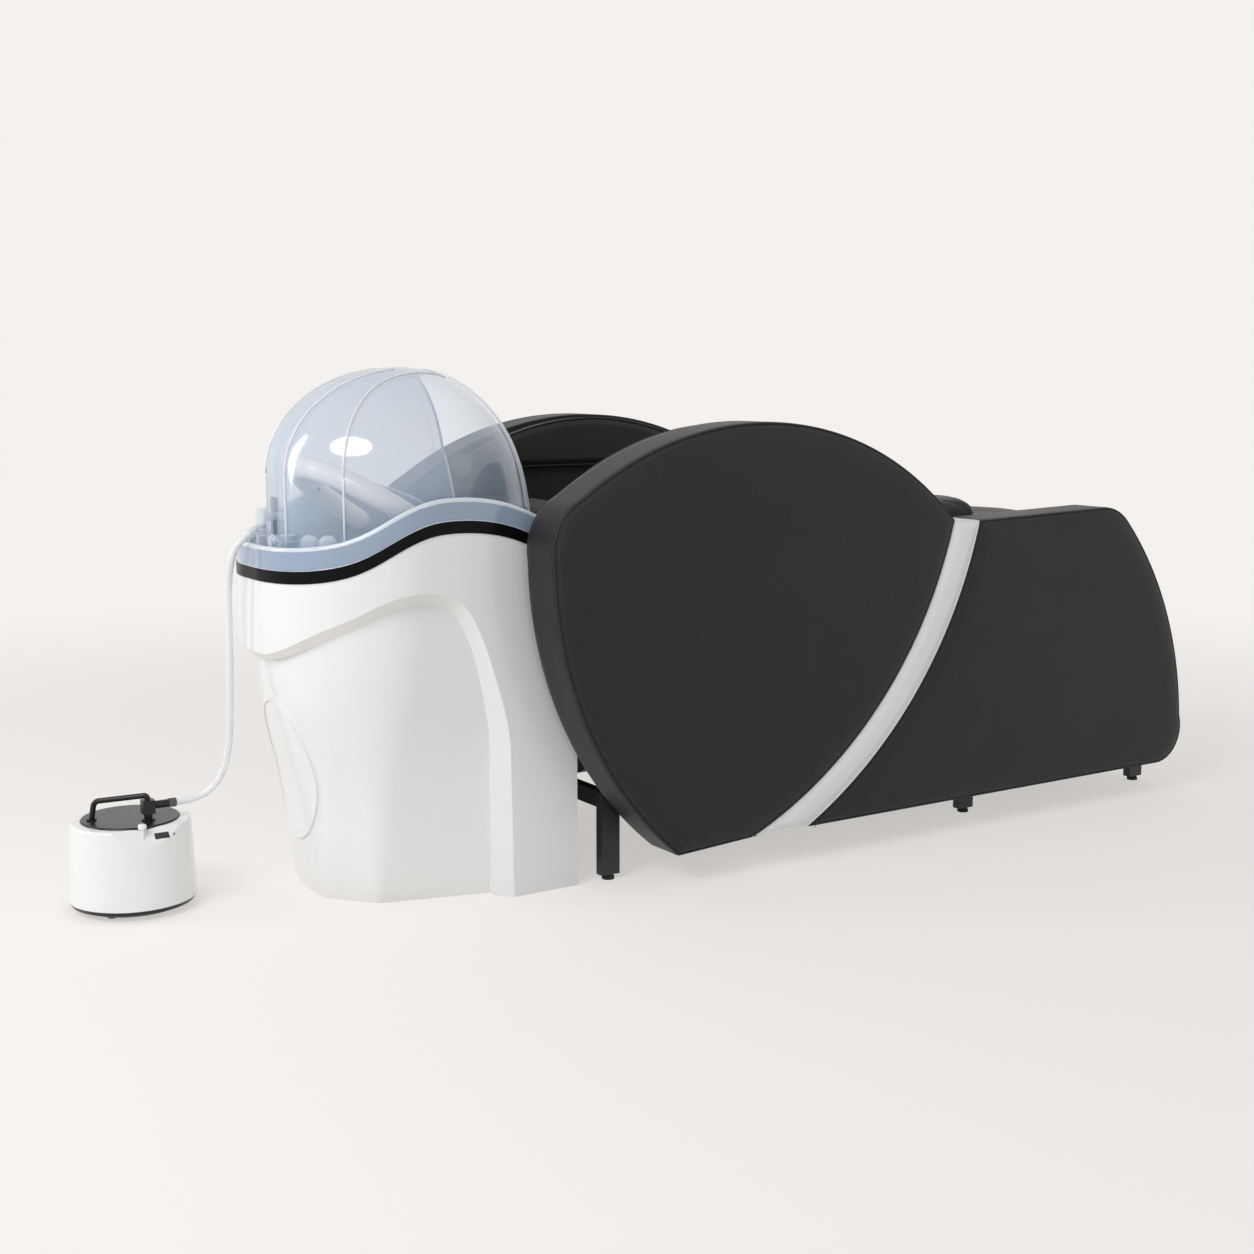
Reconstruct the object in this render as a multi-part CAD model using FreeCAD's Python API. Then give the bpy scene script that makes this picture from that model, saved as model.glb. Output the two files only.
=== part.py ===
import FreeCAD, Part

import math
import os

# Hair washing bed with a steam hood and its steam pot, in millimetres.
# X runs from the head end to the foot end, Y across and Z up from the floor.
# While the pieces are made, X = 0 is at the first pair of legs and Y = 0 is the middle of the bed.
# At the end everything moves so that X = 0 is the middle of the whole object.

Vector = FreeCAD.Vector
X_AXIS = Vector(1, 0, 0)
Y_AXIS = Vector(0, 1, 0)
Z_AXIS = Vector(0, 0, 1)

# Clearances
overrun = 1.0
skin_gap = 0.3
running_fit = 0.05

# The basin's flange, which the heights of the rim, hood, arch and taps are counted from
flange_height = 645.0
flange_thickness = 6.0

# Pedestal plan
foot_side_x = -71.0
pedestal_half_width = 250.0
head_reach = 600.0
head_corner_radius = 215.0
head_corner_cut = 131.0
base_head_reach = 504.0
base_face_half_width = 62.0
base_corner_x = -434.0
base_corner_half_width = 147.0
base_side_half_width = 246.0
base_corner_radius = 18.0
base_face_radius = 70.0
under_lip_inset = 20.0
shell_wall = 6.0
flare_levels_share = (0.0, 0.2, 0.42, 0.64, 0.8, 1.0)
flare_share = (0.0, 0.24, 0.47, 0.85, 0.98, 1.0)
under_lip_drop = 55.0
under_lip_height = flange_height - under_lip_drop

# Swoosh: the lip that runs round the head end, rises along the side and falls as a ridge to the floor
lip_drop = 96.0
lip_height = flange_height - lip_drop
lip_slope = 26.0
lip_depth = 20.0
lip_solid = 34.0
ridge_x = -233.0
lip_run = 400.0
lip_x_share = (1.0, 0.84, 0.737, 0.625, 0.496, 0.379, 0.285, 0.2125, 0.17, 0.116, 0.07, 0.034, 0.0125)
lip_z_share = (0.725, 0.843, 0.895, 0.936, 0.982, 1.0, 0.993, 0.965, 0.92, 0.827, 0.716, 0.619, 0.49)

# Wavy rim
rim_over_flange = 5.0
rim_low = flange_height + rim_over_flange
rim_rise = 83.0
rim_hump_x = -312.0
rim_run = 250.0
rim_tail = 240.0
wave_head_share = (1.32, 1.0, 0.72, 0.4, 0.2)
wave_head_rise_share = (0.0, 0.0, 0.22, 0.74, 0.95)
wave_tail_share = (0.44, 0.8, 1.05)
wave_tail_rise_share = (0.82, 0.36, 0.02)
collar_drop = 34.0
band_drop = 56.0
band_proud = 1.5
band_wall = 9.0
collar_wall = 12.0
bead_radius = 5.0

# Basin
basin_wall = 5.0
bowl_centre_x = -308.0
bowl_half_length = 165.0
bowl_half_width = 150.0
bowl_corner = 110.0
bowl_depth = 190.0
bowl_level_share = (0.0, 0.3, 0.62, 0.86, 1.0)
bowl_size_share = (1.0, 0.96, 0.86, 0.7, 0.5)
neck_notch_half_width = 138.0
neck_rest_half_width = 101.0
neck_rest_length = 58.0
neck_rest_height = 46.0
neck_dip = 24.0
neck_rest_foot = 14.0

# Drain
drain_bore = 42.0
drain_rim = 62.0
drain_rim_thickness = 2.5
drain_neck = 46.0
strainer_pitch_share = 0.27
strainer_hole = 5.0
catcher_depth = 26.0
catcher_knob = 9.0
trap_pipe = 40.0
trap_drop = 90.0
trap_reach = 84.0
trap_bend = 36.0
waste_floor_gap = 4.0

# Hood: full towards the head end, and sloping from its foot towards the bed
hood_centre_x = -302.0
hood_height = 320.0
hood_top = flange_height + hood_height
hood_half_width = 224.0
hood_head_reach = 251.0
hood_foot_reach = 255.0
hood_crown = 190.0
hood_foot_crown = 338.0
hood_steps = 5
half_oval_share = ((0, 1), (1, 1), (1, 0), (1, -1), (0, -1))
hood_wall = 4.0
hood_opening_head_x = -238.0
hood_opening_shoulder_x = -136.0
hood_opening_head_half_width = 60.0
hood_opening_half_width = 150.0
hood_flange = 14.0
hood_flange_wall = 7.0
notch_half_width = 17.0
notch_height = 90.0
hinge_x = -574.0
hinge_rise = 19.0
hinge_height = flange_height + hinge_rise
hinge_pin_radius = 2.5
hinge_knuckle_radius = 8.0
hinge_post_inner = 44.0
hinge_post_outer = 60.0
hinge_lug_width = 14.0
hinge_post_length = 18.0

# Steam inlet elbow
elbow_set_back = 3.0
elbow_radius = 10.0
elbow_wall = 2.5
elbow_rise = 73.0
elbow_height = flange_height + elbow_rise
elbow_outlet_drop = 18.0
elbow_outlet_height = elbow_height - elbow_outlet_drop
elbow_outlet_radius = 7.5
elbow_outlet_reach = 46.0
barb_radius = 6.5
barb_lip_radius = 8.0
barb_lip_length = 7.0

# Water arch
arch_pivot_x = -314.0
arch_pivot_rise = 26.0
arch_pivot_height = flange_height + arch_pivot_rise
arch_half_width = 162.0
arch_arm = 49.0
arch_rise_angle = 33.2
arch_tube = 40.0
arch_pin_radius = 6.0
arch_pin_depth = 17.0
arch_post_length = 34.0
arch_post_thickness = 14.0
arch_post_gap = 1.0
sleeve_length = 3.0
sleeve_proud = 0.8
nozzle_radius = 3.0
nozzle_proud = 2.5
nozzle_angles = (120.0, 150.0, 180.0, 210.0, 240.0)

# Tap knobs
hot_tap_x = -511.0
hot_tap_y = -58.0
cold_tap_x = -488.0
cold_tap_y = -86.0
tap_radius = 16.0
tap_height = 21.0
tap_dome = 18.0
tap_lobes = 6
tap_lobe_radius = 3.2
tap_stem_radius = 4.0
tap_stem_length = 9.0
tap_body_radius = 11.0
tap_skirt = 17.0
tap_skirt_thickness = 3.0
mixer_height = 26.0
pipe_radius = 6.0

# Pump and tray inside the pedestal
tray_height = 8.0
tray_thickness = 4.0
pump_radius = 48.0
pump_length = 120.0
pump_x = -255.0
pump_y = 70.0
pump_foot_height = 16.0
pump_foot_half_width = 34.0
pump_inlet_radius = 11.0
pump_inlet_height = 70.0

# Access cover in the head end
cover_height = 240.0
cover_half_width = 92.0
cover_half_height = 136.0
cover_frame = 11.0
cover_frame_proud = 4.5
cover_proud = 2.5
cover_hole_margin = 20.0

# Lip screws
lip_screw_angle = 212.0
lip_screw_drop = 53.0
lip_screw_height = lip_height - lip_screw_drop
lip_screw_radius = 5.0
lip_screw_length = 16.0
lip_screw_sunk = 4.0
lip_screw_slot = 2.0

# Side panels: the outline's places are shares of its length and height
# The boards stand clear of the pedestal and of the mattress, whichever is wider.
pedestal_side_gap = 5.0
mattress_width = 486.0
mattress_side_gap = 12.0
inner_half_width = max(pedestal_half_width + pedestal_side_gap, mattress_width / 2 + mattress_side_gap)
panel_thickness = 120.0
panel_outer_y = inner_half_width + panel_thickness
panel_length = 1481.0
panel_height = 864.0
side_board = 18.0
leaf_tip_share = (0.054, 0.0695)
leaf_side_mid_share = (-0.0777, 0.361)
leaf_side_top_share = (-0.1263, 0.72)
leaf_shoulder_mid_share = (-0.1168, 0.808)
leaf_shoulder_end_share = (-0.0851, 0.8553)
leaf_crown_share = (0.1769, 1.0)
leaf_end_top_share = (0.5125, 0.7627)
leaf_end_mid_share = (0.4186, 0.4178)
leaf_end_bottom_share = (0.1695, 0.081)
stripe_end_top_share = (0.5604, 0.757)
stripe_end_mid_share = (0.4767, 0.426)
stripe_end_bottom_share = (0.26, 0.081)
foot_top_end_share = (0.8143, 0.7685)
foot_corner_mid_share = (0.8413, 0.758)
foot_corner_end_share = (0.8629, 0.7315)
foot_side_mid_share = (0.9507, 0.5174)
foot_side_end_share = (1.0, 0.2025)
foot_toe_mid_share = (0.9899, 0.11)
foot_toe_end_share = (0.9487, 0.081)
pad_edge = 15.0
pad_wall = 26.0
stripe_edge = 7.0
stripe_sunk = 12.0
foot_sunk = 6.0
seam_gap = 0.6
board_margin = 14.0
spacer_width = 45.0
spacer_height = 90.0
spacer_x = -128.0
spacer_places_share = (0.59, 0.777)

# Inner arm pads
arm_pad_thickness = 24.0
arm_pad_bottom = 757.0
arm_pad_margin = 6.0
arm_pad_edge = 7.0
arm_pad_end = 20.0
arm_pad_head_x = -40.0
arm_pad_foot_x = 560.0

# Mattress
mattress_head_x = -58.0
mattress_foot_x = 948.0
mattress_top = 680.0
mattress_thickness = 90.0
mattress_crown = 8.0
mattress_edge = 22.0
mattress_channels = 3
channel_depth = 8.0
head_cushion_length = 150.0
head_cushion_rise = 22.0
leg_pad_gap = 6.0
leg_pad_foot_x = 1290.0
leg_pad_top = 625.0
leg_pad_thickness = 80.0
leg_pad_crown = 8.0
mattress_board = 15.0
board_side_gap = 2.0
bulkhead_places_share = (0.05, 0.5, 0.93)
bulkhead_thickness = 18.0
leg_board_stop = 20.0
apron_thickness = 18.0
apron_top = 590.0

# Steel frame
leg_span = 1470.0
leg_places_share = (0.0, 0.628, 1.0)
leg_width = 40.0
leg_depth = 20.0
frame_outer_y = inner_half_width - skin_gap
rail_top = 204.0
rail_height = 36.0
tube_wall = 2.0
cross_height = 32.0
foot_radius = 10.0
foot_pad_radius = 12.0
foot_pad_thickness = 5.0
foot_stem_radius = 5.0
foot_stem_length = 34.0
foot_exposed = 4.5
foot_nut_thickness = 3.0
carcass_bolt_radius = 4.0
carcass_bolt_share = (0.08, 0.36, 0.64, 0.92)

# Steam pot
pot_x = -808.0
pot_y = 90.0
pot_radius = 113.0
pot_top_radius = 106.0
pot_base_height = 19.0
pot_base_bottom_radius = 86.0
pot_base_round = 9.0
pot_foot_height = 2.0
pot_foot_radius = 9.0
pot_crest = 161.0
pot_body_wall = 3.0
pot_rim_round = 5.0
pot_panel_y = 88.0
pot_panel_top = 158.0
pot_panel_drop = 22.0
pot_lid_radius = 87.0
pot_lid_top = 164.0
pot_lid_thickness = 5.0
pot_lid_round = 3.0
pot_lid_skirt = 10.0
pot_tank_radius = 81.0
pot_tank_wall = 1.5
pot_tank_bottom = 34.0
handle_foot_x = -66.0
handle_foot_y = 12.0
handle_low = 198.0
handle_high = 209.0
handle_radius = 5.0
handle_bend = 12.0
handle_lean = 6.0
handle_collar_radius = 9.0
handle_collar_height = 3.0
valve_x = 20.0
valve_y = -42.0
valve_half = 11.0
valve_bottom = 176.0
valve_top = 201.0
valve_stem_radius = 7.5
valve_flange_radius = 12.0
valve_flange_height = 3.0
nozzle_height = 190.0
nozzle_outer = 5.0
nozzle_collar = 7.0
nozzle_end = 71.0
nut_radius = 8.0
nut_length = 13.0
nut_flutes = 12
nut_flute_radius = 1.2
pot_button_x = -8.0
pot_button_y = -95.5
pot_button_top = 172.0
pot_button_radius = 7.5
pot_button_stem = 4.0
pot_button_stem_length = 12.0
pot_button_travel = 2.5
display_width = 26.0
display_depth = 12.0
display_thickness = 1.2
display_x = 26.0
led_radius = 2.0
led_x = 48.0
led_length = 6.0
heater_radius = 52.0
heater_tube = 4.0
heater_height = 44.0
inlet_width = 28.0
inlet_height = 20.0
inlet_depth = 14.0
inlet_centre = 50.0
inlet_wall = 2.5
inlet_pin_radius = 2.0

# Steam hose: its route from the nozzle to the elbow, as shares of its reach, drift and rise
hose_diameter = 13.0
hose_end_x = -600.0
hose_end_rise = 27.0
hose_end_height = flange_height + hose_end_rise
hose_bend_share = 0.45
hose_route_share = (
    (0.0, 0.0, 0.0),
    (0.22, 0.0, 0.0),
    (0.475, 0.2, 0.033),
    (0.65, 0.33, 0.112),
    (0.715, 0.41, 0.232),
    (0.737, 0.43, 0.405),
    (0.752, 0.45, 0.58),
    (0.745, 0.5, 0.726),
    (0.737, 0.71, 0.851),
    (0.781, 0.92, 0.934),
    (0.87, 1.0, 0.974),
    (1.0, 1.0, 1.0),
)


def box(x0, x1, y0, y1, z0, z1):
    return Part.makeBox(x1 - x0, y1 - y0, z1 - z0, Vector(x0, y0, z0))


def rod(radius, start, end):
    return Part.makeCylinder(radius, (end - start).Length, start, end - start)


def fused(shapes):
    whole = shapes[0]
    if len(shapes) > 1:
        whole = whole.fuse(shapes[1:])
    return whole.removeSplitter()


def mirrored(shape):
    return shape.mirror(Vector(0, 0, 0), Y_AXIS)


def both_sides(shape):
    return Part.makeCompound([shape, mirrored(shape)])


def inset_corners(corners, inset):
    """Moves each side of a closed outline of (x, y, radius) corners inwards; the outline runs clockwise."""
    count = len(corners)
    moved = []
    for i in range(count):
        before = Vector(*corners[i - 1][:2], 0)
        here = Vector(*corners[i][:2], 0)
        after = Vector(*corners[(i + 1) % count][:2], 0)
        in_way = (here - before).normalize()
        out_way = (after - here).normalize()
        in_normal = Vector(in_way.y, -in_way.x, 0)
        out_normal = Vector(out_way.y, -out_way.x, 0)
        bisector = in_normal + out_normal
        step = bisector * (inset * 2 / bisector.Length ** 2)
        radius = corners[i][2]
        if radius > 0:
            radius = max(radius - inset, inset / 2, overrun)
        moved.append((here.x + step.x, here.y + step.y, radius))
    return moved


def rounded_wire(corners, z):
    """A closed wire at height z through (x, y, radius) corners, with a tangent arc at each rounded one."""
    count = len(corners)
    edges = []
    ends = []
    for i in range(count):
        before = Vector(*corners[i - 1][:2], z)
        here = Vector(*corners[i][:2], z)
        after = Vector(*corners[(i + 1) % count][:2], z)
        radius = corners[i][2]
        back = (before - here).normalize()
        ahead = (after - here).normalize()
        if radius == 0:
            ends.append((here, None, here))
            continue
        half_turn = (math.pi - back.getAngle(ahead)) / 2
        reach = radius * math.tan(half_turn)
        inward = (back + ahead).normalize()
        middle = here + inward * (radius / math.cos(half_turn) - radius)
        ends.append((here + back * reach, middle, here + ahead * reach))
    for i in range(count):
        start, middle, end = ends[i]
        if middle is not None:
            edges.append(Part.Arc(start, middle, end).toShape())
        edges.append(Part.LineSegment(end, ends[(i + 1) % count][0]).toShape())
    return Part.Wire(edges)


def upper_plan(inset=0.0):
    cut = head_corner_cut
    side = pedestal_half_width
    near = [
        (foot_side_x, -side, 0.0),
        (-head_reach + cut, -side, head_corner_radius),
        (-head_reach, -side + cut, head_corner_radius),
    ]
    far = [(x, -y, r) for x, y, r in reversed(near)]
    return inset_corners(near + far, inset)


def base_plan(inset=0.0):
    near = [
        (foot_side_x, -base_side_half_width, 0.0),
        (base_corner_x, -base_corner_half_width, base_corner_radius),
        (-base_head_reach, -base_face_half_width, base_face_radius),
    ]
    far = [(x, -y, r) for x, y, r in reversed(near)]
    return inset_corners(near + far, inset)


def upper_prism(inset, z0, z1):
    wire = rounded_wire(upper_plan(inset), z0)
    return Part.Face(wire).extrude(Vector(0, 0, z1 - z0))


def core(inset, z0=0.0):
    """The body under the lip: narrow at the floor, flared to just inside the rim."""
    low = base_plan(inset)
    high = upper_plan(under_lip_inset + inset)
    sections = []
    for level, flare in zip(flare_levels_share, flare_share):
        mixed = [
            (a[0] + (b[0] - a[0]) * flare, a[1] + (b[1] - a[1]) * flare, a[2] + (b[2] - a[2]) * flare)
            for a, b in zip(low, high)
        ]
        sections.append(rounded_wire(mixed, z0 + (under_lip_height - z0) * level))
    return Part.makeLoft(sections, True, False)


def under_lip(rise=0.0, back=0.0):
    """Everything under the swoosh, across the whole width; its line is moved up by rise and on in X by back."""
    side = pedestal_half_width + overrun
    points = []
    for x_share, z_share in zip(lip_x_share, lip_z_share):
        points.append(Vector(ridge_x + back - lip_run * x_share, -side, lip_height * z_share + rise))
    curve = Part.BSplineCurve()
    curve.interpolate(points)
    foot = Vector(ridge_x + back, -side, -lip_depth)
    far_foot = Vector(points[0].x, -side, -lip_depth)
    edges = [
        curve.toShape(),
        Part.LineSegment(points[-1], foot).toShape(),
        Part.LineSegment(foot, far_foot).toShape(),
        Part.LineSegment(far_foot, points[0]).toShape(),
    ]
    return Part.Face(Part.Wire(edges)).extrude(Vector(0, 2 * side, 0))


def under_wave(drop, margin=0.0):
    """Everything under the wavy rim line, lowered by drop."""
    points = []
    for x_share, rise_share in zip(wave_head_share, wave_head_rise_share):
        points.append((rim_hump_x - rim_run * x_share, rim_low + rim_rise * rise_share))
    points.append((rim_hump_x, rim_low + rim_rise))
    for x_share, rise_share in zip(wave_tail_share, wave_tail_rise_share):
        points.append((rim_hump_x + rim_tail * x_share, rim_low + rim_rise * rise_share))
    side = -pedestal_half_width - rim_rise
    curve = Part.BSplineCurve()
    curve.interpolate([Vector(x, side, z - drop) for x, z in points])
    start = Vector(points[0][0], side, points[0][1] - drop)
    end = Vector(points[-1][0], side, points[-1][1] - drop)
    floor = -lip_depth
    below_end = Vector(end.x, side, floor)
    below_start = Vector(start.x, side, floor)
    edges = [
        curve.toShape(),
        Part.LineSegment(end, below_end).toShape(),
        Part.LineSegment(below_end, below_start).toShape(),
        Part.LineSegment(below_start, start).toShape(),
    ]
    return Part.Face(Part.Wire(edges)).extrude(Vector(0, -2 * side, 0))


def rim_ring(outer_inset, inner_inset, low_drop, high_drop):
    top = rim_low + rim_rise + overrun
    bottom = flange_height - rim_rise - band_drop
    ring = upper_prism(outer_inset, bottom, top).cut(upper_prism(inner_inset, bottom - overrun, top + overrun))
    return ring.common(under_wave(high_drop)).cut(under_wave(low_drop))


def neck_notch(bottom):
    """The dip in the foot side of the rim, where the neck lies, cut down to the given height."""
    return box(
        foot_side_x - neck_rest_length, foot_side_x + band_wall, -neck_notch_half_width, neck_notch_half_width,
        bottom, rim_low + rim_rise + overrun,
    )


def cover_prism(half_width, half_height):
    curve = Part.Ellipse(Vector(0, 0, 0), half_height, half_width)
    face = Part.Face(Part.Wire([curve.toShape()]))
    face.rotate(Vector(0, 0, 0), Y_AXIS, -90)
    x_far = -head_reach - lip_depth
    face.translate(Vector(x_far, 0, cover_height))
    return face.extrude(Vector(head_reach / 3, 0, 0))


def head_corner_centre():
    """The middle of the rounded corner of the upper plan, on the near side."""
    reach = head_corner_cut + head_corner_cut / math.sqrt(2)
    return Vector(-head_reach + reach, -pedestal_half_width + reach, 0)


def lip_screw_seat():
    way = Vector(math.cos(math.radians(lip_screw_angle)), math.sin(math.radians(lip_screw_angle)), 0)
    centre = head_corner_centre()
    reach = head_corner_cut + head_corner_cut / math.sqrt(2)
    on_skin = centre + way * (reach - under_lip_inset)
    on_skin.z = lip_screw_height
    return on_skin, way


def wide_under_lip(grown):
    """Everything under the swoosh and up to the given depth beyond its line, on both of its slopes."""
    return under_lip(grown, grown).fuse(under_lip(grown, -grown))


def lip_edges(form):
    """The edges where the swoosh meets the outer skin."""
    found = []
    skin = upper_prism(overrun / 2, -overrun, rim_low + rim_rise)
    lip = wide_under_lip(overrun / 2)
    for edge in form.Edges:
        middle = edge.valueAt((edge.FirstParameter + edge.LastParameter) / 2)
        if middle.z > rim_low - overrun or middle.z < overrun:
            continue
        if lip.isInside(middle, overrun / 10, True) and not skin.isInside(middle, overrun / 10, True):
            found.append(edge)
    return found


def make_pedestal():
    upper = upper_prism(0.0, 0.0, rim_low + rim_rise).cut(under_lip())
    upper = upper.makeChamfer(lip_slope, lip_edges(upper))
    whole = upper.fuse(core(0.0))
    hollow = upper_prism(shell_wall, -overrun, rim_low + rim_rise + overrun).cut(wide_under_lip(lip_solid))
    shell = whole.cut(core(shell_wall, -overrun)).cut(hollow)
    shell = shell.common(under_wave(band_drop))
    shell = shell.cut(cover_prism(cover_half_width - cover_hole_margin, cover_half_height - cover_hole_margin))
    seat, way = lip_screw_seat()
    socket = rod(lip_screw_radius, seat - way * lip_screw_length, seat + way * lip_screw_length)
    shell = shell.cut(socket).cut(mirrored(socket))
    screw = rod(lip_screw_radius, seat - way * lip_screw_length, seat - way * lip_screw_sunk)
    slot_half = lip_screw_slot / 2
    slot = box(-slot_half, slot_half, -lip_screw_radius, lip_screw_radius, 0, slot_half)
    slot.rotate(Vector(0, 0, 0), Y_AXIS, 90)
    slot.rotate(Vector(0, 0, 0), Z_AXIS, lip_screw_angle)
    slot.translate(seat - way * (lip_screw_sunk + slot_half))
    screw = screw.cut(slot)
    return shell, both_sides(screw)


def make_access_cover():
    band = core(-cover_frame_proud).cut(core(0.0))
    frame = band.common(cover_prism(cover_half_width, cover_half_height))
    inner_half_width = cover_half_width - cover_frame
    inner_half_height = cover_half_height - cover_frame
    frame = frame.cut(cover_prism(inner_half_width, inner_half_height))
    skin = core(-cover_proud).cut(core(-skin_gap))
    cover = skin.common(cover_prism(inner_half_width - skin_gap, inner_half_height - skin_gap))
    return frame, cover


def make_basin():
    flange = upper_prism(collar_wall + basin_wall - overrun, flange_height - flange_thickness, flange_height)
    upstand = rim_ring(collar_wall, collar_wall + basin_wall, band_drop, bead_radius)
    upstand_foot = upper_prism(collar_wall, flange_height - flange_thickness, rim_low + rim_rise)
    upstand_foot = upstand_foot.cut(upper_prism(collar_wall + basin_wall, flange_height - band_drop, hood_top))
    upstand_foot = upstand_foot.common(under_wave(bead_radius))
    outer = bowl(basin_wall)
    inner = bowl(0.0)
    shelf = box(foot_side_x - neck_rest_length, foot_side_x, -neck_notch_half_width, neck_notch_half_width,
                flange_height - flange_thickness, flange_height)
    basin = flange.fuse([upstand, upstand_foot, shelf, outer]).cut(inner)
    for place in tap_places():
        top = place + Z_AXIS * (flange_height + tap_skirt_thickness)
        basin = basin.fuse(rod(tap_skirt, place + Z_AXIS * (flange_height - overrun), top))
        basin = basin.cut(rod(tap_stem_radius + skin_gap, place, top + Z_AXIS * overrun))
    drain = rod(drain_bore / 2, Vector(bowl_centre_x, 0, flange_height - bowl_depth - 2 * basin_wall),
                Vector(bowl_centre_x, 0, flange_height))
    basin = basin.cut(drain).cut(neck_notch(flange_height))
    return basin.removeSplitter()


def tap_places():
    return Vector(hot_tap_x, hot_tap_y, 0), Vector(cold_tap_x, cold_tap_y, 0)


def bowl(outset):
    """The bowl's inside, or its outside where outset is the wall."""
    sections = []
    for level, size in zip(bowl_level_share, bowl_size_share):
        half_length = bowl_half_length * size + outset
        half_width = bowl_half_width * size + outset
        radius = bowl_corner * size + outset
        corners = [
            (bowl_centre_x + half_length, -half_width, radius),
            (bowl_centre_x - half_length, -half_width, radius),
            (bowl_centre_x - half_length, half_width, radius),
            (bowl_centre_x + half_length, half_width, radius),
        ]
        depth = (bowl_depth + outset) * level
        sections.append(rounded_wire(corners, flange_height - depth))
    return Part.makeLoft(sections, True, False)


def make_collar():
    ring = rim_ring(0.0, collar_wall, collar_drop, 0.0)
    return ring.cut(neck_notch(flange_height - flange_thickness))


def make_band():
    return rim_ring(-band_proud, band_wall, band_drop, collar_drop)


def make_neck_rest():
    x0 = foot_side_x - neck_rest_length + skin_gap
    x1 = foot_side_x - skin_gap
    half = neck_rest_half_width
    z0 = flange_height + skin_gap
    block = box(x0, x1, -half, half, z0, z0 + neck_rest_height)
    dip_radius = (half * half + neck_dip * neck_dip) / (2 * neck_dip)
    axis_height = z0 + neck_rest_height - neck_dip + dip_radius
    dip = rod(dip_radius, Vector(x0 - overrun, 0, axis_height), Vector(x1 + overrun, 0, axis_height))
    rest = block.cut(dip)
    upright = [e for e in rest.Edges if abs(e.Vertexes[0].Z - e.Vertexes[-1].Z) > neck_rest_height / 2]
    return rest.makeFillet(neck_rest_foot, upright)


def bowl_floor():
    return flange_height - bowl_depth


def make_drain():
    top = bowl_floor() + drain_rim_thickness
    rim = rod(drain_rim / 2, Vector(bowl_centre_x, 0, bowl_floor()), Vector(bowl_centre_x, 0, top))
    tail_low = bowl_floor() - drain_neck
    tail = rod(drain_bore / 2, Vector(bowl_centre_x, 0, tail_low), Vector(bowl_centre_x, 0, top))
    body = rim.fuse(tail)
    bore = rod(drain_bore / 2 - basin_wall / 2, Vector(bowl_centre_x, 0, tail_low - overrun),
               Vector(bowl_centre_x, 0, top + overrun))
    return body.cut(bore).removeSplitter()


def make_hair_catcher():
    """A lift-out strainer cup with a finger knob, loose in the drain."""
    radius = drain_bore / 2 - basin_wall / 2 - 2 * skin_gap
    seat = bowl_floor() + drain_rim_thickness + skin_gap
    lip = rod(drain_bore / 2 + basin_wall / 2, Vector(bowl_centre_x, 0, seat),
              Vector(bowl_centre_x, 0, seat + drain_rim_thickness))
    cup = rod(radius, Vector(bowl_centre_x, 0, seat - catcher_depth), Vector(bowl_centre_x, 0, seat + overrun))
    floor = seat - catcher_depth + drain_rim_thickness
    hollow = rod(radius - drain_rim_thickness / 2, Vector(bowl_centre_x, 0, floor),
                 Vector(bowl_centre_x, 0, seat - overrun))
    cup = lip.fuse(cup).cut(hollow)
    holes = []
    for row, count in ((1, 6), (2, 12)):
        ring = drain_bore * strainer_pitch_share * row / 2 + strainer_hole
        for i in range(count):
            turn = math.tau * i / count
            x = bowl_centre_x + ring * math.cos(turn)
            y = ring * math.sin(turn)
            start = Vector(x, y, seat - overrun)
            holes.append(rod(strainer_hole / 2, start, Vector(x, y, seat + 2 * catcher_knob)))
    cup = cup.cut(holes)
    stem_foot = Vector(bowl_centre_x, 0, seat)
    stem = rod(drain_rim_thickness, stem_foot, stem_foot + Z_AXIS * catcher_knob)
    knob = Part.makeSphere(catcher_knob / 2, Vector(bowl_centre_x, 0, seat + catcher_knob + catcher_knob / 4))
    return cup.fuse([stem, knob]).removeSplitter()


def pipe(points, radius, bend):
    """A solid rod along straight runs with arcs of one bend radius."""
    spine = bent_wire([Vector(*p) for p in points], [bend] * (len(points) - 2))
    start = Vector(*points[0])
    way = Vector(*points[1]) - start
    circle = Part.Wire([Part.Circle(start, way, radius).toShape()])
    return spine.makePipeShell([circle], True, False)


def bent_wire(points, radii):
    edges = []
    last = points[0]
    for i in range(1, len(points) - 1):
        back = (points[i - 1] - points[i]).normalize()
        ahead = (points[i + 1] - points[i]).normalize()
        half_turn = (math.pi - back.getAngle(ahead)) / 2
        radius = radii[i - 1]
        reach = radius * math.tan(half_turn)
        middle = points[i] + (back + ahead).normalize() * (radius / math.cos(half_turn) - radius)
        start = points[i] + back * reach
        end = points[i] + ahead * reach
        edges.append(Part.LineSegment(last, start).toShape())
        edges.append(Part.Arc(start, middle, end).toShape())
        last = end
    edges.append(Part.LineSegment(last, points[-1]).toShape())
    return Part.Wire(edges)


def make_trap():
    """The waste trap: down from the drain, up again and down to just above the floor."""
    top = bowl_floor() - drain_neck
    low = top - trap_drop - trap_pipe
    x = bowl_centre_x
    points = (
        (x, 0, top),
        (x, 0, low),
        (x + trap_reach, 0, low),
        (x + trap_reach, 0, top - trap_pipe),
        (x + 2 * trap_reach, 0, top - trap_pipe),
        (x + 2 * trap_reach, 0, waste_floor_gap),
    )
    solid = pipe(points, trap_pipe / 2, trap_bend)
    bore = pipe(points, trap_pipe / 2 - drain_rim_thickness, trap_bend)
    return solid.cut(bore)


def dome_share(height, crown, inset):
    """How much of its full reach a dome has left at a height, when it rounds over in its crown."""
    over = max(0.0, height - (hood_top - crown)) / (crown - inset)
    return math.sqrt(max(0.0, 1 - over * over))


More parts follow.
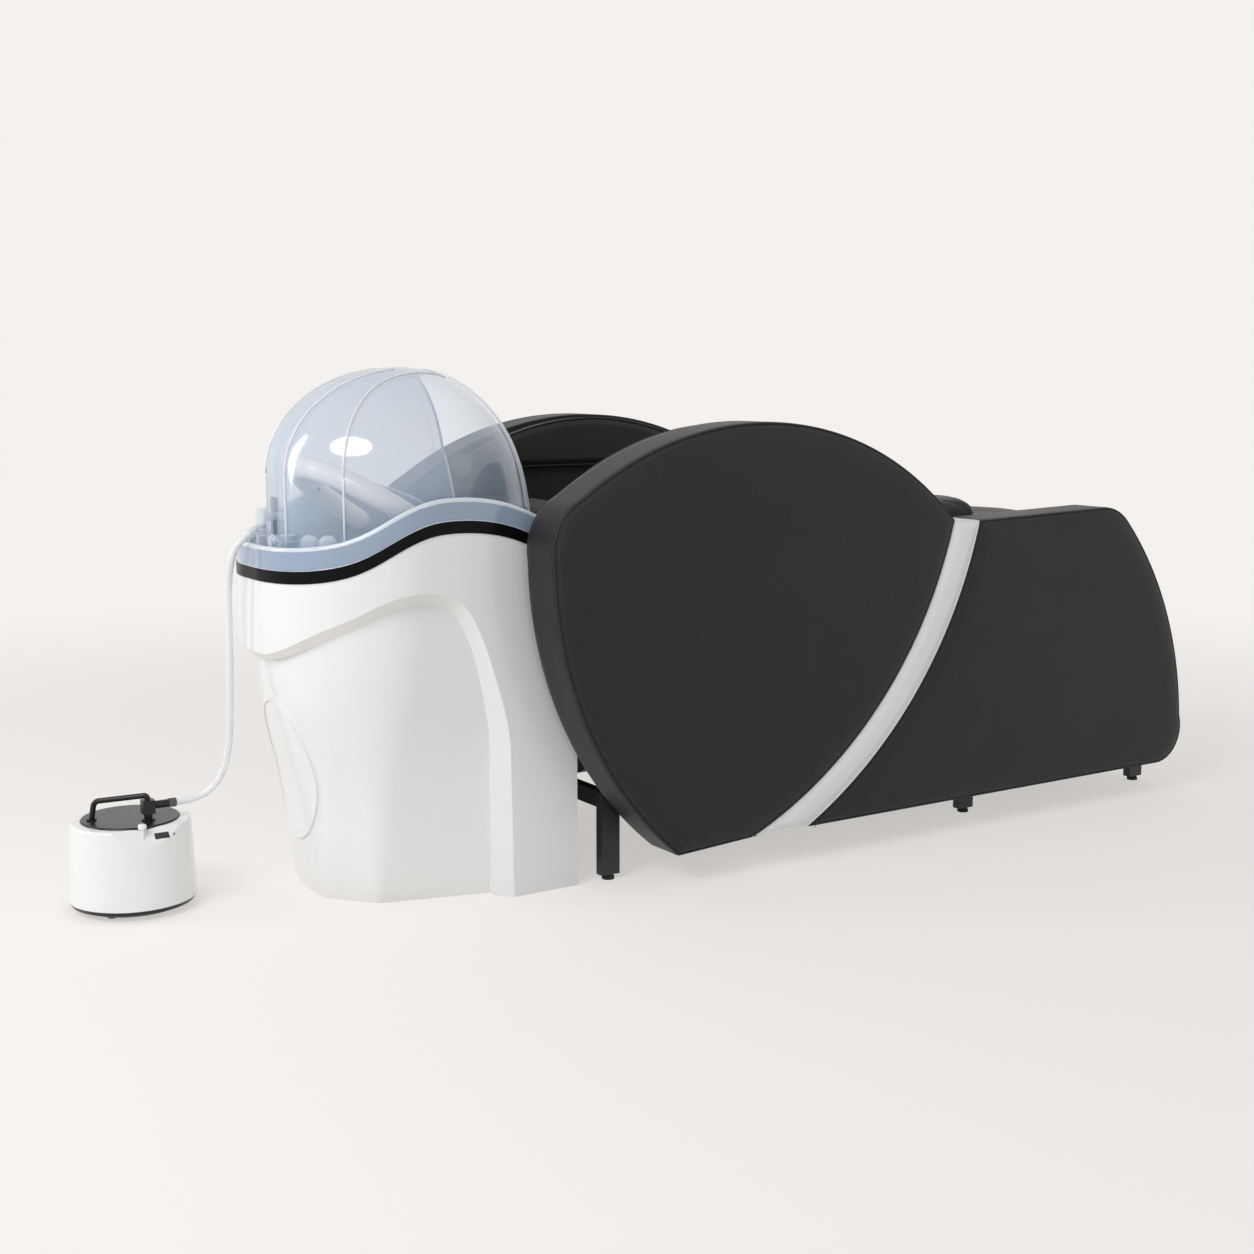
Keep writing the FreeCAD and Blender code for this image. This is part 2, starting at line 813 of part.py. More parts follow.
def hood_line(reach, crown, inset, bottom):
    """The dome's reach, half width and height, smooth over the top and kept as far as the top."""
    spring = hood_top - hood_crown
    heights = [bottom + (spring - bottom) * step / hood_steps for step in range(hood_steps)]
    for step in range(2 * hood_steps + 1):
        heights.append(spring + (hood_crown - inset) * math.sin(math.pi / 4 * step / hood_steps))
    rising = []
    for height in heights:
        along = (reach - inset) * dome_share(height, crown, inset)
        across = (hood_half_width - inset) * dome_share(height, hood_crown, inset)
        rising.append(Vector(along, across, height))
    points = rising + [Vector(-place.x, -place.y, place.z) for place in reversed(rising[:-1])]
    walked = [0.0]
    for last, place in zip(points, points[1:]):
        walked.append(walked[-1] + math.hypot(place.y - last.y, place.z - last.z))
    line = Part.BSplineCurve()
    line.interpolate(Points=points, Parameters=walked)
    line.segment(walked[0], walked[len(rising) - 1])
    return line


def hood_skin(way, line):
    """Half of the dome's skin, towards the foot or the head, with half an oval at every height."""
    corner = math.sqrt(1 / 2)
    poles = []
    for along, across in half_oval_share:
        row = []
        for pole in line.getPoles():
            row.append(Vector(hood_centre_x + way * along * pole.x, across * pole.y, pole.z))
        poles.append(row)
    weights = [[weight] * line.NbPoles for weight in (1, corner, 1, corner, 1)]
    skin = Part.BSplineSurface()
    skin.buildFromPolesMultsKnots(
        poles, (3, 2, 3), line.getMultiplicities(), (0, 1, 2), line.getKnots(),
        False, False, 2, line.Degree, weights,
    )
    return skin.toShape()


def hood_form(inset, bottom):
    """The dome as a solid: its two half skins and a flat bottom."""
    foot = hood_skin(1, hood_line(hood_foot_reach, hood_foot_crown, inset, bottom))
    head = hood_skin(-1, hood_line(hood_head_reach, hood_crown, inset, bottom))
    rim = [edge for skin in (foot, head) for edge in skin.Edges if edge.BoundBox.ZMax < bottom + overrun / 2]
    floor = Part.Face(Part.Wire(Part.sortEdges(rim)[0]))
    closed = Part.makeCompound([foot, head, floor])
    closed.sewShape()
    form = Part.Solid(closed.Shells[0])
    if form.Volume < 0:
        form.reverse()
    return form


def opening_prism(trim):
    """The part that is open towards the bed, seen from above, made narrower by trim on each side."""
    foot_x = hood_centre_x + 2 * hood_foot_reach
    side = hood_opening_half_width - trim
    corners = [
        Vector(hood_opening_head_x + trim, hood_opening_head_half_width - trim, 0),
        Vector(hood_opening_shoulder_x + trim, side, 0),
        Vector(foot_x, side, 0),
    ]
    near = [Vector(corner.x, -corner.y, 0) for corner in reversed(corners)]
    wire = Part.makePolygon(corners + near + corners[:1])
    return Part.Face(wire).extrude(Vector(0, 0, 2 * hood_top))


def make_hood():
    bottom = flange_height + skin_gap
    shell = hood_form(0.0, bottom).cut(hood_form(hood_wall, bottom - overrun))
    edge_wall = hood_form(-hood_flange_wall + hood_wall, bottom).cut(hood_form(hood_wall, bottom - overrun))
    frame = edge_wall.common(opening_prism(-hood_flange))
    shell = shell.fuse(frame).cut(opening_prism(0.0))
    notch = box(
        -head_reach, hood_centre_x, -notch_half_width, notch_half_width,
        bottom - overrun, flange_height + notch_height,
    )
    shell = shell.cut(notch)
    pin_line = Vector(hinge_x, 0, hinge_height)
    for side in (-1, 1):
        inner = side * (hinge_post_outer + skin_gap)
        outer = side * (hinge_post_outer + skin_gap + hinge_lug_width)
        low, high = sorted((inner, outer))
        knuckle = rod(hinge_knuckle_radius, pin_line + Y_AXIS * low, pin_line + Y_AXIS * high)
        arm = box(hinge_x, hinge_x + 3 * hood_flange + hinge_knuckle_radius, low, high,
                  hinge_height - hinge_knuckle_radius / 2, hinge_height + hinge_knuckle_radius)
        arm = arm.cut(hood_form(hood_wall, bottom - overrun))
        shell = shell.fuse([knuckle, arm])
    bore = rod(hinge_pin_radius + running_fit, pin_line - Y_AXIS * pedestal_half_width / 2,
               pin_line + Y_AXIS * pedestal_half_width / 2)
    return shell.cut(bore).removeSplitter()


def make_hinge():
    """Two posts on the flange at the head end, each with its hinge pin."""
    posts = []
    pin_line = Vector(hinge_x, 0, hinge_height)
    for side in (-1, 1):
        low, high = sorted((side * hinge_post_inner, side * hinge_post_outer))
        base = box(hinge_x - hinge_post_length / 2, hinge_x + hinge_post_length / 2, low, high,
                   flange_height, hinge_height)
        eye = rod(hinge_post_length / 2, pin_line + Y_AXIS * low, pin_line + Y_AXIS * high)
        posts.append(base.fuse(eye))
    reach = hinge_post_outer + hinge_lug_width + 2 * skin_gap
    pins = []
    for side in (-1, 1):
        low, high = sorted((side * hinge_post_inner, side * reach))
        pins.append(rod(hinge_pin_radius, pin_line + Y_AXIS * low, pin_line + Y_AXIS * high))
    return Part.makeCompound([fused([post, pin]) for post, pin in zip(posts, pins)])


def make_elbow():
    """The steam elbow on the flange: a barb for the hose, a column and an outlet into the hood."""
    x = hinge_x - elbow_set_back
    column = rod(elbow_radius, Vector(x, 0, flange_height), Vector(x, 0, elbow_height))
    outlet_end = Vector(x + elbow_outlet_reach, 0, elbow_outlet_height)
    outlet = rod(elbow_outlet_radius, Vector(x, 0, elbow_outlet_height), outlet_end)
    route = hose_points()
    end = route[-1]
    way = (end - route[-2]).normalize()
    reach = (x - end.x) / way.x
    barb = rod(barb_radius, end, end + way * reach)
    lip = rod(barb_lip_radius, end, end + way * barb_lip_length)
    body = column.fuse([outlet, barb, lip])
    bores = [
        rod(elbow_radius - elbow_wall, Vector(x, 0, (end + way * reach).z),
            Vector(x, 0, elbow_height - elbow_wall)),
        rod(elbow_outlet_radius - elbow_wall, Vector(x, 0, elbow_outlet_height),
            outlet_end + X_AXIS * overrun),
    ]
    return body.cut(bores).removeSplitter()


def arch_way():
    turn = math.radians(arch_rise_angle)
    return Vector(-math.cos(turn), 0, math.sin(turn))


def arch_pivot(side=-1):
    return Vector(arch_pivot_x, side * arch_half_width, arch_pivot_height)


def arch_apex_centre():
    return Vector(arch_pivot_x, 0, arch_pivot_height) + arch_way() * arch_arm


def arch_point(degrees):
    """A point of the bend's middle line: 90 is the far arm's end, 180 the apex and 270 the near arm's end."""
    turn = math.radians(degrees)
    along = arch_way() * (arch_half_width * math.cos(turn))
    return arch_apex_centre() - along + Y_AXIS * (arch_half_width * math.sin(turn))


def arch_spine():
    edges = [
        Part.LineSegment(arch_pivot(1), arch_point(90)).toShape(),
        Part.Arc(arch_point(90), arch_point(180), arch_point(270)).toShape(),
        Part.LineSegment(arch_point(270), arch_pivot(-1)).toShape(),
    ]
    return Part.Wire(edges)


def arch_tube_solid(radius):
    circle = Part.Wire([Part.Circle(arch_pivot(1), arch_way(), radius).toShape()])
    return arch_spine().makePipeShell([circle], True, False)


def make_arch():
    radius = arch_tube / 2
    tube = arch_tube_solid(radius)
    ends = [Part.makeSphere(radius, arch_pivot(side)) for side in (-1, 1)]
    tube = tube.fuse(ends)
    for side in (-1, 1):
        outer = arch_pivot(side) + Y_AXIS * (side * radius * 2)
        inner = arch_pivot(side) + Y_AXIS * (side * (radius - arch_pin_depth))
        tube = tube.cut(rod(arch_pin_radius + running_fit, inner, outer))
    return tube.removeSplitter()


def make_arch_trim():
    """A joint sleeve on each arm and a row of spray nozzles inside the bend."""
    centre = arch_pivot(-1) + arch_way() * arch_arm
    sleeve = rod(arch_tube / 2 + sleeve_proud, centre - arch_way() * sleeve_length, centre)
    inside = rod(arch_tube / 2, centre - arch_way() * (2 * sleeve_length), centre + arch_way() * overrun)
    sleeve = sleeve.cut(inside)
    nozzles = []
    for degrees in nozzle_angles:
        on_line = arch_point(degrees)
        way = (arch_apex_centre() - on_line).normalize()
        start = on_line + way * (arch_tube / 2 - nozzle_proud)
        nozzle = rod(nozzle_radius, start, on_line + way * (arch_tube / 2 + nozzle_proud))
        nozzles.append(nozzle.cut(arch_tube_solid(arch_tube / 2)))
    return both_sides(sleeve), Part.makeCompound(nozzles)


def make_arch_posts():
    """Posts on the basin's flange, each with a pivot pin into the arch."""
    radius = arch_tube / 2
    inner = arch_half_width + radius + arch_post_gap
    outer = inner + arch_post_thickness
    half = arch_post_length / 2
    post = box(arch_pivot_x - half, arch_pivot_x + half, inner, outer, flange_height, arch_pivot_height)
    eye_start = Vector(arch_pivot_x, inner, arch_pivot_height)
    eye = rod(half, eye_start, Vector(arch_pivot_x, outer, arch_pivot_height))
    tip = arch_half_width + radius - arch_pin_depth + overrun
    pin = rod(arch_pin_radius, Vector(arch_pivot_x, tip, arch_pivot_height),
              Vector(arch_pivot_x, inner + overrun, arch_pivot_height))
    return both_sides(fused([post, eye, pin]))


def make_tap(place):
    """A clear knob with finger lobes, on its stem."""
    base = place + Z_AXIS * (flange_height + tap_skirt_thickness + skin_gap)
    knob = rod(tap_radius, base, base + Z_AXIS * tap_height)
    flutes = []
    for i in range(tap_lobes):
        turn = math.tau * i / tap_lobes
        centre = base + Vector(math.cos(turn), math.sin(turn), 0) * (tap_radius + tap_lobe_radius / 3)
        flutes.append(rod(tap_lobe_radius, centre - Z_AXIS * overrun, centre + Z_AXIS * (tap_height + overrun)))
    knob = knob.cut(flutes)
    dome = Part.makeSphere(tap_dome, base + Z_AXIS * (tap_height - tap_dome))
    knob = knob.common(dome)
    stem = rod(tap_stem_radius, base - Z_AXIS * tap_stem_length, base + Z_AXIS * overrun)
    return knob.fuse(stem).removeSplitter()


def make_mixer():
    """The valve block under the taps, hung from the basin's flange."""
    top = flange_height - flange_thickness
    hot, cold = tap_places()
    way = (cold - hot).normalize()
    side = Vector(-way.y, way.x, 0) * tap_body_radius
    ends = way * tap_body_radius
    corners = [hot - ends - side, cold + ends - side, cold + ends + side, hot - ends + side]
    corners = [corner + Z_AXIS * top for corner in corners]
    block = Part.Face(Part.makePolygon(corners + corners[:1])).extrude(Vector(0, 0, -mixer_height))
    for place in (hot, cold):
        hole = rod(tap_stem_radius + skin_gap, place + Z_AXIS * (top - tap_stem_length - overrun),
                   place + Z_AXIS * (top + overrun))
        block = block.cut(hole)
    return block


def make_pump():
    """The water pump on the tray, with its suction pipe and its pipe up to the valve block."""
    floor = tray_height + tray_thickness
    axis_height = floor + pump_foot_height + pump_radius
    start = Vector(pump_x - pump_length / 2, pump_y, axis_height)
    end = Vector(pump_x + pump_length / 2, pump_y, axis_height)
    body = rod(pump_radius, start, end)
    head = rod(pump_radius + pump_foot_height / 2, start - X_AXIS * pump_foot_height, start)
    feet = box(start.x, end.x, pump_y - pump_foot_half_width, pump_y + pump_foot_half_width, floor, axis_height)
    port = rod(pump_inlet_radius, start - X_AXIS * (pump_foot_height / 2),
               start - X_AXIS * (pump_foot_height / 2) + Z_AXIS * pump_inlet_height)
    return fused([body, head, feet, port]), start - X_AXIS * (pump_foot_height / 2) + Z_AXIS * pump_inlet_height


def make_feed_pipe(pump_port):
    hot, cold = tap_places()
    middle = (hot + cold) * 0.5
    top = flange_height - flange_thickness - mixer_height
    rise = (top + pump_port.z) / 2
    points = (
        (pump_port.x, pump_port.y, pump_port.z),
        (pump_port.x, pump_port.y, pump_port.z + pump_inlet_height),
        (middle.x, middle.y, rise),
        (middle.x, middle.y, top),
    )
    return pipe(points, pipe_radius, pump_inlet_height / 2)


def make_tray():
    plan = rounded_wire(base_plan(shell_wall + overrun), tray_height)
    tray = Part.Face(plan).extrude(Vector(0, 0, tray_thickness))
    x = bowl_centre_x + 2 * trap_reach
    hole = rod(trap_pipe / 2, Vector(x, 0, 0), Vector(x, 0, 2 * tray_height + tray_thickness))
    return tray.cut(hole)


def arc(start, middle, end):
    return Part.Arc(start, middle, end).toShape()


def line(start, end):
    return Part.LineSegment(start, end).toShape()


def panel_point(share):
    return Vector(panel_length * share[0], 0, panel_height * share[1])


def panel_arc(start, middle, end):
    return arc(panel_point(start), panel_point(middle), panel_point(end))


def panel_line(start, end):
    return line(panel_point(start), panel_point(end))


def leaf_edges():
    return [
        panel_arc(leaf_tip_share, leaf_side_mid_share, leaf_side_top_share),
        panel_arc(leaf_side_top_share, leaf_shoulder_mid_share, leaf_shoulder_end_share),
        panel_arc(leaf_shoulder_end_share, leaf_crown_share, leaf_end_top_share),
        panel_arc(leaf_end_top_share, leaf_end_mid_share, leaf_end_bottom_share),
        panel_line(leaf_end_bottom_share, leaf_tip_share),
    ]


def stripe_edges():
    return [
        panel_line(leaf_end_top_share, stripe_end_top_share),
        panel_arc(stripe_end_top_share, stripe_end_mid_share, stripe_end_bottom_share),
        panel_line(stripe_end_bottom_share, leaf_end_bottom_share),
        panel_arc(leaf_end_bottom_share, leaf_end_mid_share, leaf_end_top_share),
    ]


def foot_edges():
    return [
        panel_line(stripe_end_top_share, foot_top_end_share),
        panel_arc(foot_top_end_share, foot_corner_mid_share, foot_corner_end_share),
        panel_arc(foot_corner_end_share, foot_side_mid_share, foot_side_end_share),
        panel_arc(foot_side_end_share, foot_toe_mid_share, foot_toe_end_share),
        panel_line(foot_toe_end_share, stripe_end_bottom_share),
        panel_arc(stripe_end_bottom_share, stripe_end_mid_share, stripe_end_top_share),
    ]


def outline_edges():
    top = panel_line(leaf_end_top_share, stripe_end_top_share)
    bottom = panel_line(stripe_end_bottom_share, leaf_end_bottom_share)
    return leaf_edges()[:3] + [top] + foot_edges()[:5] + [bottom, leaf_edges()[-1]]


def offset_face(edges, inset):
    wire = Part.Wire(Part.__sortEdges__(edges))
    if inset == 0:
        return Part.Face(wire)
    return Part.Face(wire.makeOffset2D(-inset, 0))


def pad(edges, inner_y, outer_y, edge):
    """A padded slab on the near side: rounded outside and hollow behind."""
    face = offset_face(edges, seam_gap / 2)
    face.translate(Vector(0, -inner_y, 0))
    body = face.extrude(Vector(0, inner_y - outer_y, 0))
    rim = [e for e in body.Edges if abs(e.BoundBox.YMin + outer_y) < seam_gap and e.BoundBox.YLength < seam_gap]
    body = body.makeFillet(edge, rim)
    space = offset_face(edges, pad_wall)
    space.translate(Vector(0, overrun - inner_y, 0))
    return body.cut(space.extrude(Vector(0, inner_y + pad_wall - outer_y - overrun, 0)))


def make_side():
    """The near side: a board, and three pads on its outside."""
    board_outer = inner_half_width + side_board
    board_face = offset_face(outline_edges(), board_margin)
    board_face.translate(Vector(0, -inner_half_width, 0))
    board = board_face.extrude(Vector(0, -side_board, 0))
    leaf = pad(leaf_edges(), board_outer, panel_outer_y, pad_edge)
    stripe = pad(stripe_edges(), board_outer, panel_outer_y - stripe_sunk, stripe_edge)
    foot = pad(foot_edges(), board_outer, panel_outer_y - foot_sunk, pad_edge)
    return board, leaf, stripe, foot


def make_apron():
    """The curved board that closes the foot end between the side panels."""
    ring = offset_face(outline_edges(), board_margin)
    ring = ring.cut(offset_face(outline_edges(), board_margin + apron_thickness))
    apron = ring.extrude(Vector(0, 2 * inner_half_width, 0))
    apron.translate(Vector(0, -inner_half_width, 0))
    bottom = rail_top + leg_pad_gap
    room = box(leg_pad_foot_x + leg_pad_gap, panel_length, -panel_outer_y, panel_outer_y, bottom, apron_top)
    return apron.common(room)


def make_arm_pad():
    """The padded strip inside the top of the side panel."""
    y = -(inner_half_width - skin_gap)
    top = panel_point(leaf_crown_share)
    crown = Vector(top.x, y, top.z - arm_pad_margin)
    head = Vector(arm_pad_head_x, y, arm_pad_bottom)
    foot = Vector(arm_pad_foot_x, y, arm_pad_bottom)
    head_top = Vector(arm_pad_head_x, y, arm_pad_bottom + arm_pad_end)
    foot_top = Vector(arm_pad_foot_x, y, arm_pad_bottom + arm_pad_end)
    wire = Part.Wire([
        line(head, head_top),
        arc(head_top, crown, foot_top),
        line(foot_top, foot),
        line(foot, head),
    ])
    body = Part.Face(wire).extrude(Vector(0, arm_pad_thickness, 0))
    inner = y + arm_pad_thickness
    rim = [e for e in body.Edges if abs(e.BoundBox.YMin - inner) < seam_gap and e.BoundBox.YLength < seam_gap]
    return body.makeFillet(arm_pad_edge, rim)


def cushion_section(x, half_width, bottom, top, crown, edge):
    """One cross-section of a cushion: flat underneath, drawn-in sides and a crowned top."""
    draw = edge / 4
    waist = (bottom + top) / 2
    points = [
        Vector(x, -half_width + edge, bottom),
        Vector(x, half_width - edge, bottom),
        Vector(x, half_width, bottom + edge),
        Vector(x, half_width, top - edge),
        Vector(x, half_width - edge, top),
        Vector(x, -half_width + edge, top),
        Vector(x, -half_width, top - edge),
        Vector(x, -half_width, bottom + edge),
    ]
    lean = edge * (1 - 1 / math.sqrt(2))
    corner_mids = [
        Vector(x, half_width - lean, bottom + lean),
        Vector(x, half_width - lean, top - lean),
        Vector(x, -half_width + lean, top - lean),
        Vector(x, -half_width + lean, bottom + lean),
    ]
    return Part.Wire([
        line(points[0], points[1]),
        arc(points[1], corner_mids[0], points[2]),
        arc(points[2], Vector(x, half_width - draw, waist), points[3]),
        arc(points[3], corner_mids[1], points[4]),
        arc(points[4], Vector(x, 0, top + crown), points[5]),
        arc(points[5], corner_mids[2], points[6]),
        arc(points[6], Vector(x, -half_width + draw, waist), points[7]),
        arc(points[7], corner_mids[3], points[0]),
    ])


def cushion(x0, x1, half_width, bottom, top, crown, edge, channels, rise=0.0, rise_length=0.0):
    """A cushion lofted along X, with sewn channels across it and drawn-in ends."""
    stations = [
        (x0, edge, 0.0),
        (x0 + edge / 3, edge / 3, 0.5),
        (x0 + edge, 0.0, 1.0),
    ]
    length = x1 - x0
    for i in range(channels):
        centre = x0 + length * (i + 1) / (channels + 1)
        stations.append((centre - edge, 0.0, 1.0))
        stations.append((centre, channel_depth, 0.0))
        stations.append((centre + edge, 0.0, 1.0))
    stations.append((x1 - edge, 0.0, 1.0))
    stations.append((x1 - edge / 3, edge / 3, 0.5))
    stations.append((x1, edge, 0.0))
    sections = []
    for x, sink, crown_share in stations:
        lift = 0.0
        if rise > 0:
            ahead = max(0.0, 1 - (x - x0) / rise_length)
            lift = rise * ahead * ahead * (3 - 2 * ahead)
        end_sink = sink if x in (x0, x0 + edge / 3, x1 - edge / 3, x1) else 0.0
        sections.append(cushion_section(
            x, half_width - end_sink / 2, bottom + end_sink / 2, top - sink + lift, crown * crown_share + overrun,
            edge - end_sink / 2,
        ))
    return Part.makeLoft(sections, True, True)


def make_mattress():
    main = cushion(
        mattress_head_x, mattress_foot_x, mattress_width / 2, mattress_top - mattress_thickness, mattress_top,
        mattress_crown, mattress_edge, mattress_channels, head_cushion_rise, head_cushion_length,
    )
    leg = cushion(
        mattress_foot_x + leg_pad_gap, leg_pad_foot_x, mattress_width / 2, leg_pad_top - leg_pad_thickness,
        leg_pad_top, leg_pad_crown, mattress_edge, 0,
    )
    return main, leg


def board_bottom():
    return mattress_top - mattress_thickness - mattress_board


def leg_board_bottom():
    return leg_pad_top - leg_pad_thickness - mattress_board


def make_boards():
    half = inner_half_width - board_side_gap
    main = box(mattress_head_x, mattress_foot_x, -half, half, board_bottom(), board_bottom() + mattress_board)
    leg = box(mattress_foot_x + leg_pad_gap, leg_pad_foot_x - leg_board_stop, -half, half,
              leg_board_bottom(), leg_board_bottom() + mattress_board)
    return Part.makeCompound([main, leg])


def make_carcass_boards():
    """Upright boards from the rails to the cushion boards, and blocks between pedestal and side boards."""
    half = inner_half_width
    pieces = []
    for share in spacer_places_share:
        z = flange_height * share
        block = box(spacer_x, spacer_x + spacer_width, -half, -pedestal_half_width, z, z + spacer_height)
        pieces.extend([block, mirrored(block)])
    length = leg_pad_foot_x - leg_board_stop
    for share in bulkhead_places_share:
        x = length * share
        top = board_bottom() if x < mattress_foot_x else leg_board_bottom()
        pieces.append(box(x, x + bulkhead_thickness, -half, half, rail_top, top))
    return Part.makeCompound(pieces)


def make_leg_frame(x):
    """A pair of legs with the cross tube welded between them, under the rails."""
    bottom = foot_exposed + foot_pad_thickness
    inner = frame_outer_y - leg_depth
    parts = []
    for side in (-1, 1):
        low, high = sorted((side * inner, side * frame_outer_y))
        leg = box(x - leg_width / 2, x + leg_width / 2, low, high, bottom, rail_top - rail_height)
        mid_y = side * (inner + frame_outer_y) / 2
        thread = rod(foot_stem_radius + running_fit, Vector(x, mid_y, bottom - overrun),
                     Vector(x, mid_y, bottom + foot_stem_length + overrun))
        parts.append(leg.cut(thread))
    cross = box(x - leg_depth / 2, x + leg_depth / 2, -inner, inner, rail_top - rail_height - cross_height,
                rail_top - rail_height)
    hollow = box(x - leg_depth / 2 + tube_wall, x + leg_depth / 2 - tube_wall, -inner, inner,
                 rail_top - rail_height - cross_height + tube_wall, rail_top - rail_height - tube_wall)
    parts.append(cross.cut(hollow))
    return fused(parts)


def make_rail():
    x0 = -leg_width / 2
    x1 = leg_span + leg_width / 2
    inner = frame_outer_y - leg_depth
    solid = box(x0, x1, -frame_outer_y, -inner, rail_top - rail_height, rail_top)
    hollow = box(x0 - overrun, x1 + overrun, -frame_outer_y + tube_wall, -inner - tube_wall,
                 rail_top - rail_height + tube_wall, rail_top - tube_wall)
    return solid.cut(hollow)


def make_foot(x, side):
    """A levelling foot: pad, neck and threaded stem."""
    y = side * (frame_outer_y - leg_depth / 2)
    pad_solid = rod(foot_pad_radius, Vector(x, y, 0), Vector(x, y, foot_pad_thickness))
    neck_foot = Vector(x, y, foot_pad_thickness / 2)
    neck = rod(foot_radius, neck_foot, Vector(x, y, foot_pad_thickness + foot_nut_thickness))
    stem = rod(foot_stem_radius, Vector(x, y, foot_pad_thickness),
               Vector(x, y, foot_pad_thickness + foot_exposed + foot_stem_length))
    return fused([pad_solid, neck, stem])


def make_carcass_bolts():
    """Bolts through each side board into the steel rail."""
    bolts = []
    outer = inner_half_width + side_board
    height = rail_top - rail_height / 2
    for share in carcass_bolt_share:
        x = leg_span * share
        bolts.append(rod(carcass_bolt_radius, Vector(x, -frame_outer_y, height), Vector(x, -outer, height)))
    return both_sides(Part.makeCompound(bolts))


def pot_place(shape):
    shape.translate(Vector(pot_x, pot_y, 0))
    return shape


def revolved(points):
    """A solid of revolution about Z from (radius, height) points."""
    corners = [Vector(r, 0, z) for r, z in points]
    wire = Part.makePolygon(corners + corners[:1])
    return Part.Face(wire).revolve(Vector(0, 0, 0), Z_AXIS, 360)


def disc(radius, bottom, top):
    return Part.makeCylinder(radius, top - bottom, Vector(0, 0, bottom))


def make_pot_base():
    solid = revolved([
        (0, pot_foot_height), (pot_base_bottom_radius, pot_foot_height),
        (pot_radius - pot_base_round / 2, pot_foot_height + pot_base_round),
        (pot_radius, pot_base_height), (0, pot_base_height),
    ])
    feet = []
    ring = pot_base_bottom_radius - pot_foot_radius
    for i in range(4):
        turn = math.tau * (i + 0.5) / 4
        centre = Vector(ring * math.cos(turn), ring * math.sin(turn), 0)
        feet.append(rod(pot_foot_radius, centre, centre + Z_AXIS * pot_foot_height))
    return solid, Part.makeCompound(feet)


def panel_drop(y):
    """The height of the sloping control panel at the pot's own y."""
    share = (-pot_panel_y - y) / (pot_top_radius - pot_panel_y)
    return pot_panel_top - pot_panel_drop * share


def over_panel(sink):
    """Everything over the control panel, lowered by sink."""
    reach = 2 * pot_radius
    low_y = -reach
    high_y = -pot_panel_y + pot_panel_drop
    corners = [
        Vector(-reach, low_y, panel_drop(low_y) - sink),
        Vector(-reach, high_y, panel_drop(high_y) - sink),
        Vector(-reach, low_y, panel_drop(high_y)),
    ]
    return Part.Face(Part.makePolygon(corners + corners[:1])).extrude(Vector(2 * reach, 0, 0))


def panel_frame(x, y):
    """A point on the control panel and its outward normal."""
    slope = pot_panel_drop / (pot_top_radius - pot_panel_y)
    return Vector(x, y, panel_drop(y)), Vector(0, -slope, 1).normalize()


def make_pot_body():
    height = pot_crest - pot_base_height
    outer = Part.makeCone(pot_radius, pot_top_radius, height, Vector(0, 0, pot_base_height))
    outer = outer.cut(over_panel(0.0))
    rim = [e for e in outer.Edges if e.BoundBox.ZMax > pot_panel_top - pot_panel_drop - pot_rim_round]
    outer = outer.makeFillet(pot_rim_round, [e for e in rim if e.BoundBox.ZMin > pot_base_height + overrun])
    wall = pot_body_wall
    inner = Part.makeCone(
        pot_radius - wall, pot_top_radius - wall, height - wall, Vector(0, 0, pot_base_height))
    inner = inner.cut(over_panel(2 * wall))
    mouth = disc(pot_lid_radius + skin_gap, pot_panel_top - pot_panel_drop - wall, pot_crest + overrun)
    body = outer.cut(inner).cut(mouth)
    return body


def make_pot_button(body):
    """The button on the rim, and the body with its hole."""
    top = Vector(pot_button_x, pot_button_y, pot_button_top)
    foot = Vector(pot_button_x, pot_button_y, panel_drop(pot_button_y))
    hole = rod(pot_button_stem + skin_gap, foot - Z_AXIS * (pot_button_stem_length + overrun), top)
    neck = Vector(foot.x, foot.y, pot_crest + pot_button_travel + skin_gap)
    cap = rod(pot_button_radius, neck, top)
    crown = [e for e in cap.Edges if e.BoundBox.ZMin > top.z - overrun]
    cap = cap.makeFillet(pot_button_radius / 2, crown)
    stem = rod(pot_button_stem, foot - Z_AXIS * pot_button_stem_length, neck + Z_AXIS * overrun)
    button = fused([cap, stem])
    return button, body.cut(hole)


def make_display(body):
    """The display window and the lamp, let into the control panel."""
    mid_y = -(pot_panel_y + pot_top_radius) / 2
    point, normal = panel_frame(display_x, mid_y)
    window = box(-display_width / 2, display_width / 2, -display_depth / 2, display_depth / 2,
                 -2 * display_thickness, 0)
    turn = math.degrees(math.atan2(-normal.y, normal.z))
    window.rotate(Vector(0, 0, 0), X_AXIS, turn)
    window.translate(point)
    lamp_point, lamp_way = panel_frame(led_x, mid_y)
    lamp = rod(led_radius, lamp_point - lamp_way * led_length, lamp_point + lamp_way * (led_radius / 2))
    return window, lamp, body.cut(window).cut(lamp)


def make_pot_tank():
    outer = disc(pot_tank_radius, pot_tank_bottom, pot_lid_top - pot_lid_thickness)
    inner = disc(pot_tank_radius - pot_tank_wall, pot_tank_bottom + pot_tank_wall, pot_crest + overrun)
    rim = disc(pot_lid_radius - overrun, pot_lid_top - pot_lid_thickness - pot_tank_wall,
               pot_lid_top - pot_lid_thickness)
    return outer.fuse(rim).cut(inner).removeSplitter()


def make_heater():
    """A ring element on the tank's floor, with its two ends down through it."""
    ring = Part.makeTorus(heater_radius, heater_tube, Vector(0, 0, heater_height))
    posts = []
    for side in (-1, 1):
        place = Vector(side * heater_tube * 2, heater_radius, 0)
        posts.append(rod(heater_tube, place + Z_AXIS * (pot_tank_bottom + pot_tank_wall),
                         place + Z_AXIS * heater_height))
    return fused([ring] + posts)


